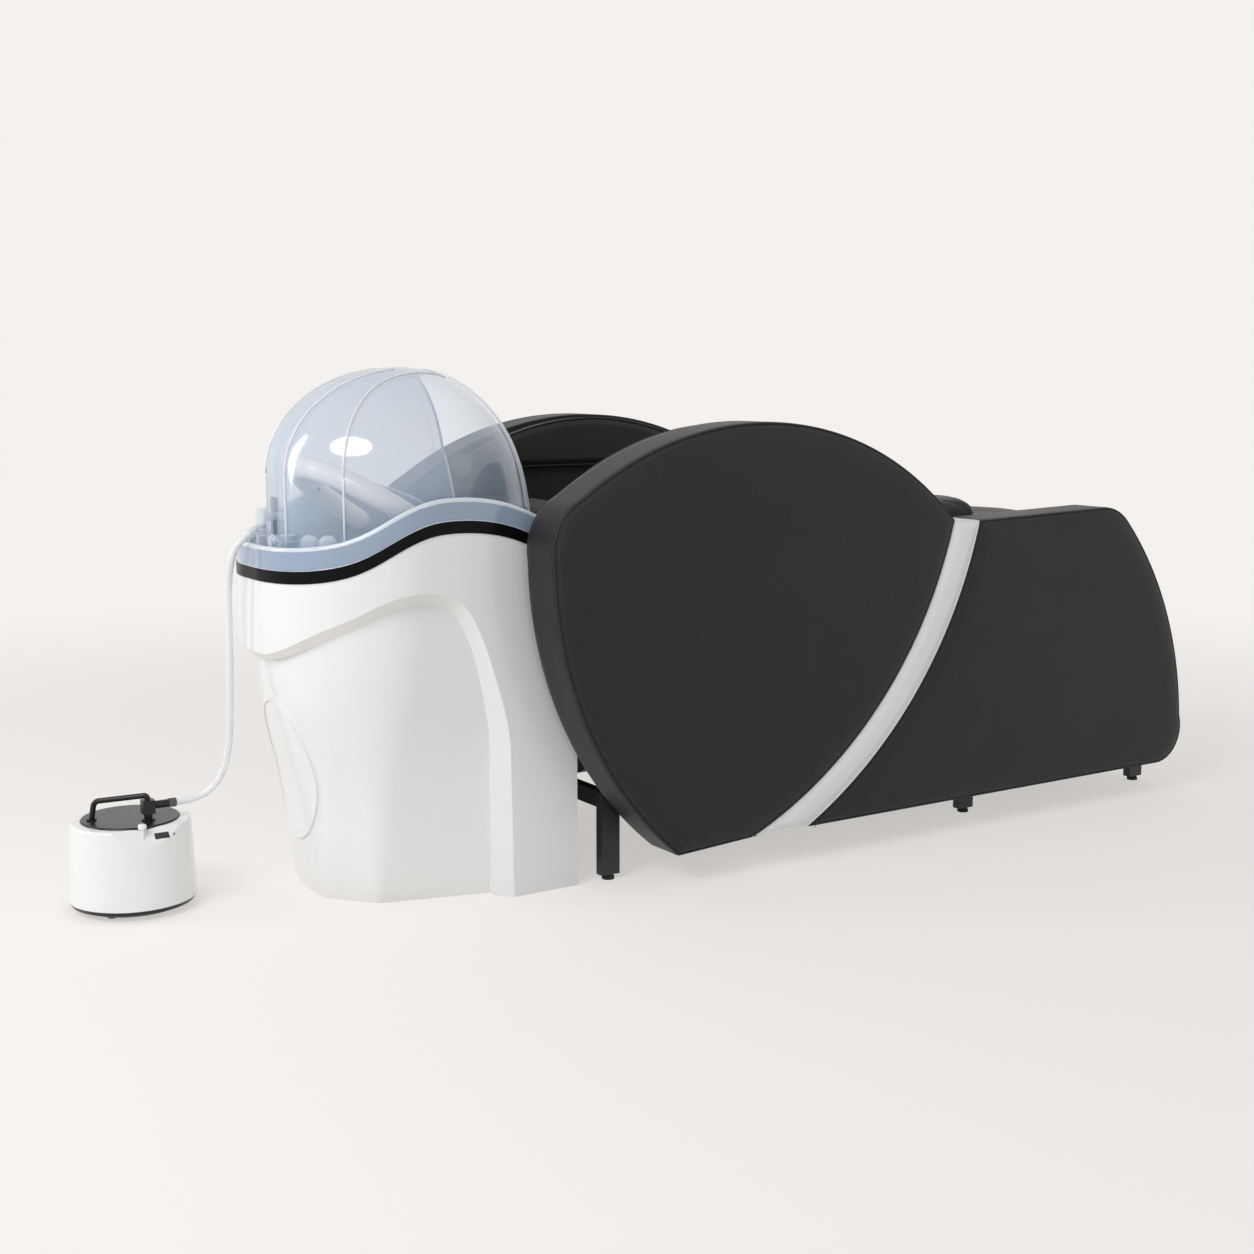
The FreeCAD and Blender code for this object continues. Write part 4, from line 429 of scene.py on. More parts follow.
def padded_face(name, loop, wall, levels, place, step=FACE_STEP):
    """A pad with an upright wall round a loop, and a face that rises with the distance from the loop.

    wall holds heights, levels holds pairs of distance and height, and place puts a point at a height.
    """
    marks = []
    for distance, _ in levels[1:]:
        ring = inset_loop(loop, distance)
        marks += [p for p, d in zip(ring, depth_inside(ring, loop)) if d > distance * 0.97]
    low = Vector((min(p.x for p in loop), min(p.y for p in loop)))
    high = Vector((max(p.x for p in loop), max(p.y for p in loop)))
    grid = [
        Vector((low.x + step * (i + 0.5 * (j % 2)), low.y + step * j))
        for i in range(int((high.x - low.x) / step) + 1)
        for j in range(int((high.y - low.y) / step) + 1)
    ]
    marks += [p for p, d in zip(grid, depth_inside(grid, loop)) if d > levels[-1][0] + step * 0.4]
    count = len(loop)
    edges = [(i, (i + 1) % count) for i in range(count)]
    flat, _, faces, _, _, _ = delaunay_2d_cdt(list(loop) + marks, edges, [], 1, 1e-6)
    depths = np.maximum(0, depth_inside(flat, loop))
    heights = np.interp(depths, [d for d, _ in levels], [h for _, h in levels])
    points = []
    for p, depth, height in zip(flat, depths, heights):
        swell = FACE_WOBBLE * noise.noise(Vector((p.x * 9, p.y * 9, 0.3))) * min(1.0, depth / 0.02)
        points.append(place(p, height + swell))
    polygons = [tuple(f) for f in faces]
    for level in wall:
        base = len(points)
        points += [place(p, level) for p in loop]
        if level != wall[-1]:
            polygons += [(base + i, base + j, base + count + j, base + count + i) for i, j in edges]
    back = len(points)
    points += [place(p, wall[0]) for p in flat]
    polygons += [tuple(back + i for i in reversed(f)) for f in faces]
    obj = mesh_object(name, points, polygons)
    work = bmesh.new()
    work.from_mesh(obj.data)
    bmesh.ops.remove_doubles(work, verts=work.verts, dist=2e-6)
    bmesh.ops.recalc_face_normals(work, faces=work.faces)
    work.to_mesh(obj.data)
    work.free()
    return obj


def stack_rings(name, rings, close_first=True, close_last=True):
    """A closed skin over rings of points that match one another."""
    points = [p for ring in rings for p in ring]
    count = len(rings[0])
    faces = []
    for r in range(len(rings) - 1):
        for i in range(count):
            j = (i + 1) % count
            faces.append((r * count + i, r * count + j, (r + 1) * count + j, (r + 1) * count + i))
    if close_first:
        faces.append(tuple(reversed(range(count))))
    if close_last:
        faces.append(tuple(range((len(rings) - 1) * count, len(rings) * count)))
    obj = mesh_object(name, points, faces)
    work = bmesh.new()
    work.from_mesh(obj.data)
    bmesh.ops.recalc_face_normals(work, faces=work.faces)
    large = [f for f in work.faces if len(f.verts) > 4]
    bmesh.ops.triangulate(work, faces=large)
    work.to_mesh(obj.data)
    work.free()
    return obj


def tube_along(name, points, radius, sides, closed=False):
    """A round tube along points, with its ends closed where it is open."""
    count = len(points)
    rings = []
    last_side = None
    for i in range(count):
        ahead = points[(i + 1) % count] if closed or i < count - 1 else points[i]
        back = points[i - 1] if closed or i > 0 else points[i]
        way = (ahead - back).normalized()
        side = last_side if last_side else way.orthogonal().normalized()
        side = (side - way * side.dot(way)).normalized()
        last_side = side
        up = way.cross(side)
        turns = [math.tau * k / sides for k in range(sides)]
        rings.append([points[i] + radius * (math.cos(t) * side + math.sin(t) * up) for t in turns])
    if closed:
        rings.append(rings[0])
    return stack_rings(name, rings, not closed, not closed)


def spaced(points, step, closed=False):
    """Points at even steps along a line of points."""
    path = list(points) + ([points[0]] if closed else [])
    result = []
    carry = 0.0
    for a, b in zip(path, path[1:]):
        run = (b - a).length
        place = carry
        while place < run:
            result.append((a.lerp(b, place / run), (b - a).normalized()))
            place += step
        carry = place - run
    return result


def stitches(name, points, closed=False):
    """A row of sewing stitches along a line."""
    spots = []
    faces = []
    sides = STITCH_SIDES
    turns = [math.tau * k / sides for k in range(sides)]
    for centre, way in spaced(points, STITCH_LENGTH + STITCH_GAP, closed):
        side = way.orthogonal().normalized()
        up = way.cross(side)
        base = len(spots)
        for share, width in STITCH_SWELL:
            middle = centre + way * (STITCH_LENGTH * share)
            spots += [middle + STITCH_RADIUS * width * (math.cos(t) * side + math.sin(t) * up) for t in turns]
        last = base + (len(STITCH_SWELL) - 1) * sides
        for a in range(base, last, sides):
            for k in range(sides):
                n = (k + 1) % sides
                faces.append((a + k, a + n, a + sides + n, a + sides + k))
        faces.append(tuple(base + k for k in reversed(range(sides))))
        faces.append(tuple(last + k for k in range(sides)))
    return mesh_object(name, spots, faces)


def as_evaluated(obj):
    """A new mesh of an object with its modifiers applied."""
    return bpy.data.meshes.new_from_object(obj.evaluated_get(bpy.context.evaluated_depsgraph_get()))


def spots_of(mesh):
    """The points of a mesh as rows of an array."""
    spots = np.empty(len(mesh.vertices) * 3)
    mesh.vertices.foreach_get("co", spots)
    return spots.reshape(-1, 3)


def stuff(obj, voxel, pressure, cap, rest_height):
    """Swells a closed cushion with a short cloth simulation, held flat where it rests on its board."""
    scene = bpy.context.scene
    remesh = obj.modifiers.new("Remesh", "REMESH")
    remesh.mode = "VOXEL"
    remesh.voxel_size = voxel
    bpy.context.view_layer.update()
    shape = as_evaluated(obj)
    obj.modifiers.clear()
    obj.data = shape
    held = obj.vertex_groups.new(name="rest")
    held.add([v.index for v in shape.vertices if v.co.z < rest_height], 1.0, "REPLACE")
    cloth = obj.modifiers.new("Cloth", "CLOTH")
    cloth.settings.vertex_group_mass = "rest"
    cloth.settings.quality = CLOTH_QUALITY
    cloth.settings.use_pressure = True
    cloth.settings.uniform_pressure_force = pressure
    cloth.settings.effector_weights.gravity = 0.0
    cloth.point_cache.frame_end = CLOTH_FRAMES
    for frame_number in range(1, CLOTH_FRAMES + 1):
        scene.frame_set(frame_number)
    start = spots_of(shape)
    move = spots_of(as_evaluated(obj)) - start
    reach = np.linalg.norm(move, axis=1, keepdims=True)
    move *= np.minimum(1.0, cap / np.maximum(reach, 1e-9))
    shape.vertices.foreach_set("co", (start + move).ravel())
    obj.modifiers.clear()
    obj.vertex_groups.clear()
    scene.frame_set(1)
    fine = obj.modifiers.new("Fine", "SUBSURF")
    fine.levels = 1
    bpy.context.view_layer.update()
    obj.data = as_evaluated(obj)
    obj.modifiers.clear()
    for face in obj.data.polygons:
        face.use_smooth = True
    return obj


def crease(obj, places, half, depth, above):
    """Presses narrow sewn lines across the top of a cushion."""
    for spot in obj.data.vertices:
        if spot.co.z > above:
            for x in places:
                away = abs(spot.co.x - x) / half
                if away < 1.0:
                    spot.co.z -= depth * (1 - away * away) ** 2
    obj.data.update()


def on_top(tree, x, y, lift):
    """The place on a cushion straight under a point, lifted a little."""
    spot = tree.ray_cast(Vector((x, y, ABOVE_ALL)), Vector((0, 0, -1)))[0]
    return spot + Vector((0, 0, lift))


# Shader parts


def group(name, inputs, outputs):
    """A shader node group with float sockets, and its two end nodes."""
    tree = bpy.data.node_groups.new(name, "ShaderNodeTree")
    for label, value in inputs:
        socket = tree.interface.new_socket(name=label, in_out="INPUT", socket_type="NodeSocketFloat")
        socket.default_value = value
    for label, kind in outputs:
        tree.interface.new_socket(name=label, in_out="OUTPUT", socket_type=kind)
    start = tree.nodes.new("NodeGroupInput")
    end = tree.nodes.new("NodeGroupOutput")
    return tree, start, end


def add(tree, kind, **settings):
    node = tree.nodes.new(kind)
    for key, value in settings.items():
        setattr(node, key, value)
    return node


def wire(tree, source, target):
    tree.links.new(source, target)


def math_node(tree, operation, a, b=None, clamp=False):
    node = add(tree, "ShaderNodeMath", operation=operation, use_clamp=clamp)
    for socket, value in zip(node.inputs, (a, b)):
        if value is None:
            continue
        if isinstance(value, (int, float)):
            socket.default_value = value
        else:
            wire(tree, value, socket)
    return node.outputs[0]


def noise_over(tree, source, detail, scale=None, size=None):
    """A noise texture over a vector, at a fixed scale or at one over a size socket."""
    node = add(tree, "ShaderNodeTexNoise")
    node.inputs["Detail"].default_value = detail
    wire(tree, source, node.inputs["Vector"])
    if size is None:
        node.inputs["Scale"].default_value = scale
    else:
        wire(tree, math_node(tree, "DIVIDE", 1.0, size), node.inputs["Scale"])
    return node


def stretched_place(tree, stretch):
    """The place on an object, multiplied along each axis."""
    place = add(tree, "ShaderNodeTexCoord")
    node = add(tree, "ShaderNodeVectorMath", operation="MULTIPLY")
    wire(tree, place.outputs["Object"], node.inputs[0])
    node.inputs[1].default_value = stretch
    return node.outputs[0]


def seen_directly(tree):
    """1 for a ray from the camera, off a gloss or through glass, and otherwise 0."""
    rays = add(tree, "ShaderNodeLightPath")
    seen = math_node(tree, "ADD", rays.outputs["Is Camera Ray"], rays.outputs["Is Glossy Ray"], clamp=True)
    return math_node(tree, "ADD", seen, rays.outputs["Is Transmission Ray"], clamp=True)


def mix_shaders(tree, factor, first, second, output):
    mix = add(tree, "ShaderNodeMixShader")
    wire(tree, factor, mix.inputs[0])
    wire(tree, first.outputs[0], mix.inputs[1])
    wire(tree, second.outputs[0], mix.inputs[2])
    wire(tree, mix.outputs[0], tree.nodes[output].inputs["Surface"])


def leather_grain():
    """Pebbled cells with fine creases, as a height and a mask."""
    tree, start, end = group(
        "Leather grain", [("Cell size", 0.0016), ("Crease", 0.35)],
        [("Height", "NodeSocketFloat"), ("Mask", "NodeSocketFloat")],
    )
    place = add(tree, "ShaderNodeTexCoord")
    scale = math_node(tree, "DIVIDE", 1.0, start.outputs["Cell size"])
    bend = noise_over(tree, place.outputs["Object"], 2.0, scale=90.0)
    shift = add(tree, "ShaderNodeVectorMath", operation="SCALE")
    wire(tree, bend.outputs["Color"], shift.inputs[0])
    shift.inputs["Scale"].default_value = 0.0022
    bent = add(tree, "ShaderNodeVectorMath", operation="ADD")
    wire(tree, place.outputs["Object"], bent.inputs[0])
    wire(tree, shift.outputs[0], bent.inputs[1])
    cells = add(tree, "ShaderNodeTexVoronoi", feature="DISTANCE_TO_EDGE")
    wire(tree, bent.outputs[0], cells.inputs["Vector"])
    wire(tree, scale, cells.inputs["Scale"])
    pebble = add(tree, "ShaderNodeMapRange", interpolation_type="SMOOTHSTEP")
    pebble.inputs["From Max"].default_value = 0.22
    wire(tree, cells.outputs["Distance"], pebble.inputs["Value"])
    fine = add(tree, "ShaderNodeTexNoise")
    fine.inputs["Detail"].default_value = 4.0
    wire(tree, place.outputs["Object"], fine.inputs["Vector"])
    wire(tree, math_node(tree, "MULTIPLY", scale, 1.7), fine.inputs["Scale"])
    crease = math_node(tree, "MULTIPLY", fine.outputs["Fac"], start.outputs["Crease"])
    wire(tree, math_node(tree, "ADD", pebble.outputs[0], crease), end.inputs["Height"])
    wire(tree, pebble.outputs[0], end.inputs["Mask"])
    return tree


def soft_mottle():
    """Large soft variation between 0 and 1."""
    tree, start, end = group(
        "Soft mottle", [("Size", 0.12), ("Contrast", 1.0)], [("Value", "NodeSocketFloat")]
    )
    place = add(tree, "ShaderNodeTexCoord")
    cloud = noise_over(tree, place.outputs["Object"], 4.0, size=start.outputs["Size"])
    cloud.inputs["Roughness"].default_value = 0.55
    centred = math_node(tree, "SUBTRACT", cloud.outputs["Fac"], 0.5)
    spread = math_node(tree, "MULTIPLY", centred, start.outputs["Contrast"])
    wire(tree, math_node(tree, "ADD", spread, 0.5, clamp=True), end.inputs["Value"])
    return tree


def moulded_skin():
    """The slight ripple and fine pits of moulded or powder coated surfaces, as a height."""
    tree, start, end = group(
        "Moulded skin", [("Ripple size", 0.03), ("Pit size", 0.0012), ("Pit share", 0.15)],
        [("Height", "NodeSocketFloat")],
    )
    place = add(tree, "ShaderNodeTexCoord")
    ripple = noise_over(tree, place.outputs["Object"], 1.0, size=start.outputs["Ripple size"])
    pits = noise_over(tree, place.outputs["Object"], 2.0, size=start.outputs["Pit size"])
    small = math_node(tree, "MULTIPLY", pits.outputs["Fac"], start.outputs["Pit share"])
    wire(tree, math_node(tree, "ADD", ripple.outputs["Fac"], small), end.inputs["Height"])
    return tree


def floor_scuff():
    """A mask that fades upwards from the floor, broken up by noise."""
    tree, start, end = group(
        "Floor scuff", [("Height", 0.06), ("Strength", 0.5)], [("Mask", "NodeSocketFloat")]
    )
    place = add(tree, "ShaderNodeTexCoord")
    parts = add(tree, "ShaderNodeSeparateXYZ")
    wire(tree, place.outputs["Object"], parts.inputs[0])
    level = math_node(tree, "DIVIDE", parts.outputs["Z"], start.outputs["Height"], clamp=True)
    low = math_node(tree, "SUBTRACT", 1.0, level)
    marks = noise_over(tree, place.outputs["Object"], 6.0, scale=38.0)
    broken = math_node(tree, "MULTIPLY", low, marks.outputs["Fac"])
    wire(tree, math_node(tree, "MULTIPLY", broken, start.outputs["Strength"], clamp=True), end.inputs["Mask"])
    return tree


def brushed_lines():
    """Fine turned or brushed lines round the upright axis, as a height."""
    tree, start, end = group("Brushed lines", [("Spacing", 0.0005)], [("Height", "NodeSocketFloat")])
    lines = noise_over(tree, stretched_place(tree, (0.06, 0.06, 1.0)), 3.0, size=start.outputs["Spacing"])
    wire(tree, lines.outputs["Fac"], end.inputs["Height"])
    return tree


def put_group(tree, name, **values):
    makers = {
        "Leather grain": leather_grain,
        "Soft mottle": soft_mottle,
        "Moulded skin": moulded_skin,
        "Floor scuff": floor_scuff,
        "Brushed lines": brushed_lines,
    }
    held = bpy.data.node_groups.get(name) or makers[name]()
    node = add(tree, "ShaderNodeGroup", node_tree=held)
    for label, value in values.items():
        node.inputs[label.replace("_", " ")].default_value = value
    return node


class Finish:
    """A material under construction: a Principled shader and the nodes that feed it."""

    def __init__(self, name, base, roughness, **constants):
        self.material = bpy.data.materials.new(name)
        self.material.use_nodes = True
        self.tree = self.material.node_tree
        self.shader = self.tree.nodes["Principled BSDF"]
        self.base = (*base, 1.0)
        self.shader.inputs["Base Color"].default_value = self.base
        self.shader.inputs["Roughness"].default_value = roughness
        for label, value in constants.items():
            self.shader.inputs[label.replace("_", " ")].default_value = value

    def vary_colour(self, mask, other, reach):
        """Mixes the base towards another colour where the mask is high."""
        mix = add(self.tree, "ShaderNodeMix", data_type="RGBA")
        mix.inputs["A"].default_value = self.base
        mix.inputs["B"].default_value = (*other, 1.0)
        current = self.shader.inputs["Base Color"].links
        if current:
            wire(self.tree, current[0].from_socket, mix.inputs["A"])
        wire(self.tree, math_node(self.tree, "MULTIPLY", mask, reach), mix.inputs["Factor"])
        wire(self.tree, mix.outputs["Result"], self.shader.inputs["Base Color"])

    def vary_roughness(self, mask, low, high):
        spread = add(self.tree, "ShaderNodeMapRange")
        spread.inputs["To Min"].default_value = low
        spread.inputs["To Max"].default_value = high
        wire(self.tree, mask, spread.inputs["Value"])
        wire(self.tree, spread.outputs[0], self.shader.inputs["Roughness"])

    def bump(self, height, distance, strength):
        node = add(self.tree, "ShaderNodeBump")
        node.inputs["Strength"].default_value = strength
        node.inputs["Distance"].default_value = distance
        wire(self.tree, height, node.inputs["Height"])
        wire(self.tree, node.outputs["Normal"], self.shader.inputs["Normal"])


def darker(base, share):
    return tuple(c * share for c in base)


def leather(name, base, cell=0.0015, depth=0.00022, low=0.40, high=0.56):
    """Leather with pebbled grain; low and high bound its roughness."""
    finish = Finish(name, base, 0.48, Specular_IOR_Level=0.26, Sheen_Weight=0.03, Sheen_Roughness=0.5)
    grain = put_group(finish.tree, "Leather grain", Cell_size=cell)
    cloud = put_group(finish.tree, "Soft mottle", Size=0.16, Contrast=1.3)
    finish.vary_colour(cloud.outputs["Value"], darker(base, 0.82), 0.5)
    finish.vary_roughness(cloud.outputs["Value"], low, high)
    finish.bump(grain.outputs["Height"], depth, 0.8)
    return finish.material


def gloss_plastic(name, base, roughness, coat, scuff=0.0, **more):
    """Glossy moulded plastic, scuffed near the floor."""
    finish = Finish(name, base, roughness, Coat_Weight=coat, Coat_Roughness=0.06, **more)
    skin = put_group(finish.tree, "Moulded skin", Ripple_size=0.05, Pit_size=0.0009, Pit_share=0.04)
    cloud = put_group(finish.tree, "Soft mottle", Size=0.2, Contrast=1.0)
    finish.vary_colour(cloud.outputs["Value"], darker(base, 0.955), 0.6)
    finish.vary_roughness(cloud.outputs["Value"], roughness * 0.85, roughness * 1.25)
    if scuff:
        mark = put_group(finish.tree, "Floor scuff", Height=0.05, Strength=scuff)
        finish.vary_colour(mark.outputs["Mask"], darker(base, 0.72), 1.0)
    finish.bump(skin.outputs["Height"], 0.00012, 0.5)
    return finish.material


def satin_plastic(name, base, roughness, pit=0.0007, depth=0.00006):
    """Finely textured plastic, rubber or thread."""
    finish = Finish(name, base, roughness, Specular_IOR_Level=0.35)
    skin = put_group(finish.tree, "Moulded skin", Ripple_size=0.02, Pit_size=pit, Pit_share=1.0)
    cloud = put_group(finish.tree, "Soft mottle", Size=0.06, Contrast=1.2)
    finish.vary_colour(cloud.outputs["Value"], tuple(min(1.0, c * 1.35) for c in base), 0.4)
    finish.vary_roughness(cloud.outputs["Value"], roughness * 0.85, roughness * 1.2)
    finish.bump(skin.outputs["Height"], depth, 0.7)
    return finish.material


def clear_plastic(name, base, roughness, through, body=1.0, edge=1.0, ripple=0.00015, **more):
    """See-through moulded plastic; body is how milky it looks face on, and edge where it turns away."""
    finish = Finish(name, base, roughness, Transmission_Weight=through, **more)
    if body < 1:
        turn = add(finish.tree, "ShaderNodeLayerWeight")
        turn.inputs["Blend"].default_value = 0.5
        milk = add(finish.tree, "ShaderNodeMapRange")
        milk.inputs["To Min"].default_value = body
        milk.inputs["To Max"].default_value = edge
        steep = math_node(finish.tree, "POWER", turn.outputs["Facing"], 2.6)
        wire(finish.tree, steep, milk.inputs["Value"])
        wire(finish.tree, milk.outputs[0], finish.shader.inputs["Alpha"])
    skin = put_group(finish.tree, "Moulded skin", Ripple_size=0.06, Pit_size=0.004, Pit_share=0.03)
    cloud = put_group(finish.tree, "Soft mottle", Size=0.14, Contrast=1.1)
    finish.vary_colour(cloud.outputs["Value"], darker(base, 0.93), 0.5)
    finish.vary_roughness(cloud.outputs["Value"], roughness * 0.7, roughness * 1.3)
    finish.bump(skin.outputs["Height"], ripple, 0.5)
    return finish.material


def metal(name, base, roughness):
    """Bare metal with fine brushed lines."""
    finish = Finish(name, base, roughness, Metallic=1.0)
    lines = put_group(finish.tree, "Brushed lines", Spacing=0.0005)
    cloud = put_group(finish.tree, "Soft mottle", Size=0.05, Contrast=1.0)
    finish.vary_colour(cloud.outputs["Value"], darker(base, 0.85), 0.5)
    finish.vary_roughness(cloud.outputs["Value"], roughness * 0.8, roughness * 1.3)
    finish.bump(lines.outputs["Height"], 0.00002, 0.6)
    return finish.material


def powder_coat(name, base):
    """Powder coated steel, dusty near the floor."""
    finish = Finish(name, base, 0.42)
    skin = put_group(finish.tree, "Moulded skin", Ripple_size=0.004, Pit_size=0.0008, Pit_share=0.8)
    mark = put_group(finish.tree, "Floor scuff", Height=0.05, Strength=0.6)
    cloud = put_group(finish.tree, "Soft mottle", Size=0.05, Contrast=1.0)
    finish.vary_colour(mark.outputs["Mask"], (0.09, 0.088, 0.085), 0.6)
    finish.vary_roughness(cloud.outputs["Value"], 0.36, 0.5)
    finish.bump(skin.outputs["Height"], 0.00008, 0.7)
    return finish.material


def board_finish(name, base):
    """Stained board with its grain along the bed."""
    finish = Finish(name, base, 0.6)
    grain = noise_over(finish.tree, stretched_place(finish.tree, (0.08, 1.0, 1.0)), 5.0, scale=140.0)
    finish.vary_colour(grain.outputs["Fac"], darker(base, 0.55), 0.8)
    finish.vary_roughness(grain.outputs["Fac"], 0.5, 0.72)
    finish.bump(grain.outputs["Fac"], 0.00015, 0.5)
    return finish.material


def finish_named(name):
    """The finish of that name, made the first time it is asked for."""
    held = bpy.data.materials.get(name)
    if held:
        return held
    c = bpy.context.scene.bed_colours
    makers = {
        "Black leather": lambda: leather(name, c.leather_black, low=0.36, high=0.5),
        "White leather": lambda: leather(name, c.leather_white, depth=0.00012, low=0.38, high=0.5),
        "Piping": lambda: leather(name, darker(c.leather_black, 1.5), cell=0.0008, depth=0.0001),
        "Thread": lambda: satin_plastic(name, c.thread, 0.6, pit=0.0003, depth=0.0001),
        "White shell": lambda: gloss_plastic(name, c.shell_white, 0.2, 0.3, scuff=0.25),
        "Black band": lambda: gloss_plastic(name, c.band_black, 0.24, 0.0, Specular_IOR_Level=0.1),
        "Hood": lambda: clear_plastic(
            name, c.hood_tint, 0.06, 0.0, 0.23, 0.92, Specular_IOR_Level=1.0, Coat_Weight=1.0,
            Coat_Roughness=0.07, Coat_IOR=1.8, Sheen_Weight=0.8, Sheen_Roughness=0.3
        ),
        # The ribs and the opening's bead are moulded shapes; their whiter, denser finish than the hood's
        # paints the bright highlight lines along them.
        "Hood rib": lambda: clear_plastic(
            name, c.rib_white, 0.08, 0.0, 0.7, 0.95, Coat_Weight=0.8, Coat_Roughness=0.03, Sheen_Weight=0.5
        ),
        "Basin": lambda: clear_plastic(
            name, c.basin_tint, 0.12, 0.0, 0.86, 1.0, Coat_Weight=1.0, Coat_Roughness=0.04
        ),
        # Pale, nearly opaque finish of the collar's beads: a painted highlight along the collar's top and
        # lower edges.
        "Rim bead": lambda: clear_plastic(
            name, c.clear, 0.1, 0.1, 0.85, 1.0, Coat_Weight=0.7, Coat_Roughness=0.03
        ),
        "Pearl": lambda: gloss_plastic(name, c.arch_pearl, 0.22, 0.45),
        "Clear acrylic": lambda: clear_plastic(
            name, c.clear, 0.04, 0.0, 0.26, 0.9, Specular_IOR_Level=0.8, Coat_Weight=0.8, Coat_Roughness=0.02
        ),
        # Clear knobs given a dense white finish: partly their own milky plastic, partly a painted highlight.
        "Tap acrylic": lambda: clear_plastic(
            name, c.rib_white, 0.04, 0.0, 0.8, 1.0,
            Specular_IOR_Level=0.8, Coat_Weight=0.8, Coat_Roughness=0.02
        ),
        "Black steel": lambda: powder_coat(name, c.steel_black),
        "Bright steel": lambda: metal(name, c.steel_bright, 0.24),
        "Black plastic": lambda: satin_plastic(name, c.plastic_black, 0.28),
        "Black rubber": lambda: satin_plastic(name, darker(c.plastic_black, 1.4), 0.62),
        "Grey plastic": lambda: satin_plastic(name, c.plastic_grey, 0.36),
        "Pot white": lambda: gloss_plastic(name, c.shell_white, 0.24, 0.25, scuff=0.1),
        "Silicone": lambda: clear_plastic(name, c.silicone, 0.28, 0.08, 0.88, 0.98, ripple=0.00005),
        "Board": lambda: board_finish(name, c.board),
        "Screen": lambda: gloss_plastic(name, c.screen, 0.08, 0.3),
        "Lamp lens": lambda: clear_plastic(name, c.lens, 0.1, 0.5),
    }
    return makers[name]()


def dress(finish, *nodes):
    """Gives CAD nodes a finish."""
    material = finish_named(finish)
    for name in nodes:
        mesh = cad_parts[name].data
        mesh.materials.clear()
        mesh.materials.append(material)
        for face in mesh.polygons:
            face.material_index = 0


def clothe(obj, finish, body):
    """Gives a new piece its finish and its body."""
    obj.data.materials.clear()
    obj.data.materials.append(finish_named(finish))
    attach(obj, body)
    return obj


# Pieces


def in_panel(loop, inset, y):
    """A line on the near side panel, moved in from a loop."""
    return [bed(p.x, -y, p.y) for p in inset_loop(loop, inset)]


def side_pad(name, arcs, sizes, face, crown, run, sewn):
    """One padded panel on the near side, with its piped seam and its stitches."""
    loop = inset_loop(outline(arcs, sizes), sizes.seam_gap / 2)
    seam = face - crown
    board = sizes.board_face
    wall = (board + 0.0004, board + 0.012, seam - 0.03, seam - 0.012, seam - SEAM_DROPS[0][1])
    shoulder = SHOULDER_SHARES[-1][0]
    levels = [(away, seam - drop) for away, drop in SEAM_DROPS]
    levels += [(away, seam + crown * share) for away, share in SHOULDER_SHARES]
    levels += [(shoulder + run * along, seam + crown * share) for along, share in CROWN_SHARES]
    pad = padded_face(name, loop, wall, levels, lambda p, y: bed(p.x, -y, p.y))
    pipe = tube_along(name + "_piping", in_panel(loop, 0.0022, seam - 0.0006), sizes.piping, 8, True)
    rows = []
    if sewn:
        rows.append(stitches(name + "_row_side", in_panel(loop, -0.0001, seam - 0.0102), True))
        rows.append(stitches(name + "_row_face", in_panel(loop, 0.0098, seam + crown * 0.5), True))
    return pad, pipe, rows


def cushion_height(x, x0, x1, sizes, channels, crown):
    """How far the top sinks at x, and how much its middle stands over its edges there."""
    sink = 0.0
    share = 1.0
    edge = sizes.edge
    for i in range(channels):
        centre = x0 + (x1 - x0) * (i + 1) / (channels + 1)
        away = abs(x - centre) / (edge * 1.35)
        if away < 1.0:
            sink = max(sink, sizes.channel_depth * (1 - away * away) ** 2)
            share = min(share, away)
    return sink, crown * (0.35 + 0.65 * share)


def cushion(name, x0, x1, top, thickness, sizes, channels, crown, rise=0.0, rise_run=1.0):
    """A stuffed cushion along the bed with drawn-in sides and sewn channels."""
    half = sizes.half_width
    edge = sizes.edge
    bottom = top - thickness
    spots = [*END_SPOTS, edge]
    xs = [x0 + s for s in spots]
    steps = round((x1 - x0 - 2 * edge) / CUSHION_STEP)
    xs += [x0 + edge + (x1 - x0 - 2 * edge) * i / steps for i in range(1, steps)]
    xs += [x1 - s for s in reversed(spots)]
    rings = []
    for x in xs:
        near_end = min(x - x0, x1 - x)
        close = math.sqrt(max(0.0, 1 - (1 - min(1.0, near_end / edge)) ** 2))
        sink, bulge = cushion_height(x, x0, x1, sizes, channels, crown)
        lift = 0.0
        if rise:
            ahead = max(0.0, 1 - (x - x0) / rise_run)
            lift = rise * ahead * ahead * (3 - 2 * ahead)
        high = top - sink + lift
        middle = (bottom + high) / 2
        wave = sum(size * math.sin((x - x0) * rate) for size, rate in (LONG_WAVE, SHORT_WAVE))
        ring = []
        for k in range(CUSHION_SIDES):
            turn = math.tau * k / CUSHION_SIDES
            c, s = math.cos(turn), math.sin(turn)
            y = half * math.copysign(abs(c) ** 0.16, c)
            z = math.copysign(abs(s) ** 0.34, s)
            pull = 1 - 0.012 * (1 - z * z)
            if sizes.channel_depth:
                pull -= 0.010 * sink / sizes.channel_depth
            y *= pull * (1 - (1 - close) * edge * 0.55 / half)
            flat = 1 - (y / half) ** 2
            if z > 0:
                up = (high - middle) * z * (0.42 + 0.58 * close) + (bulge * flat + wave * flat) * z * close
            else:
                up = (middle - bottom) * z * (0.6 + 0.4 * close)
            ring.append(bed(x, y, middle + up))
        rings.append(ring)
    return stack_rings(name, rings)


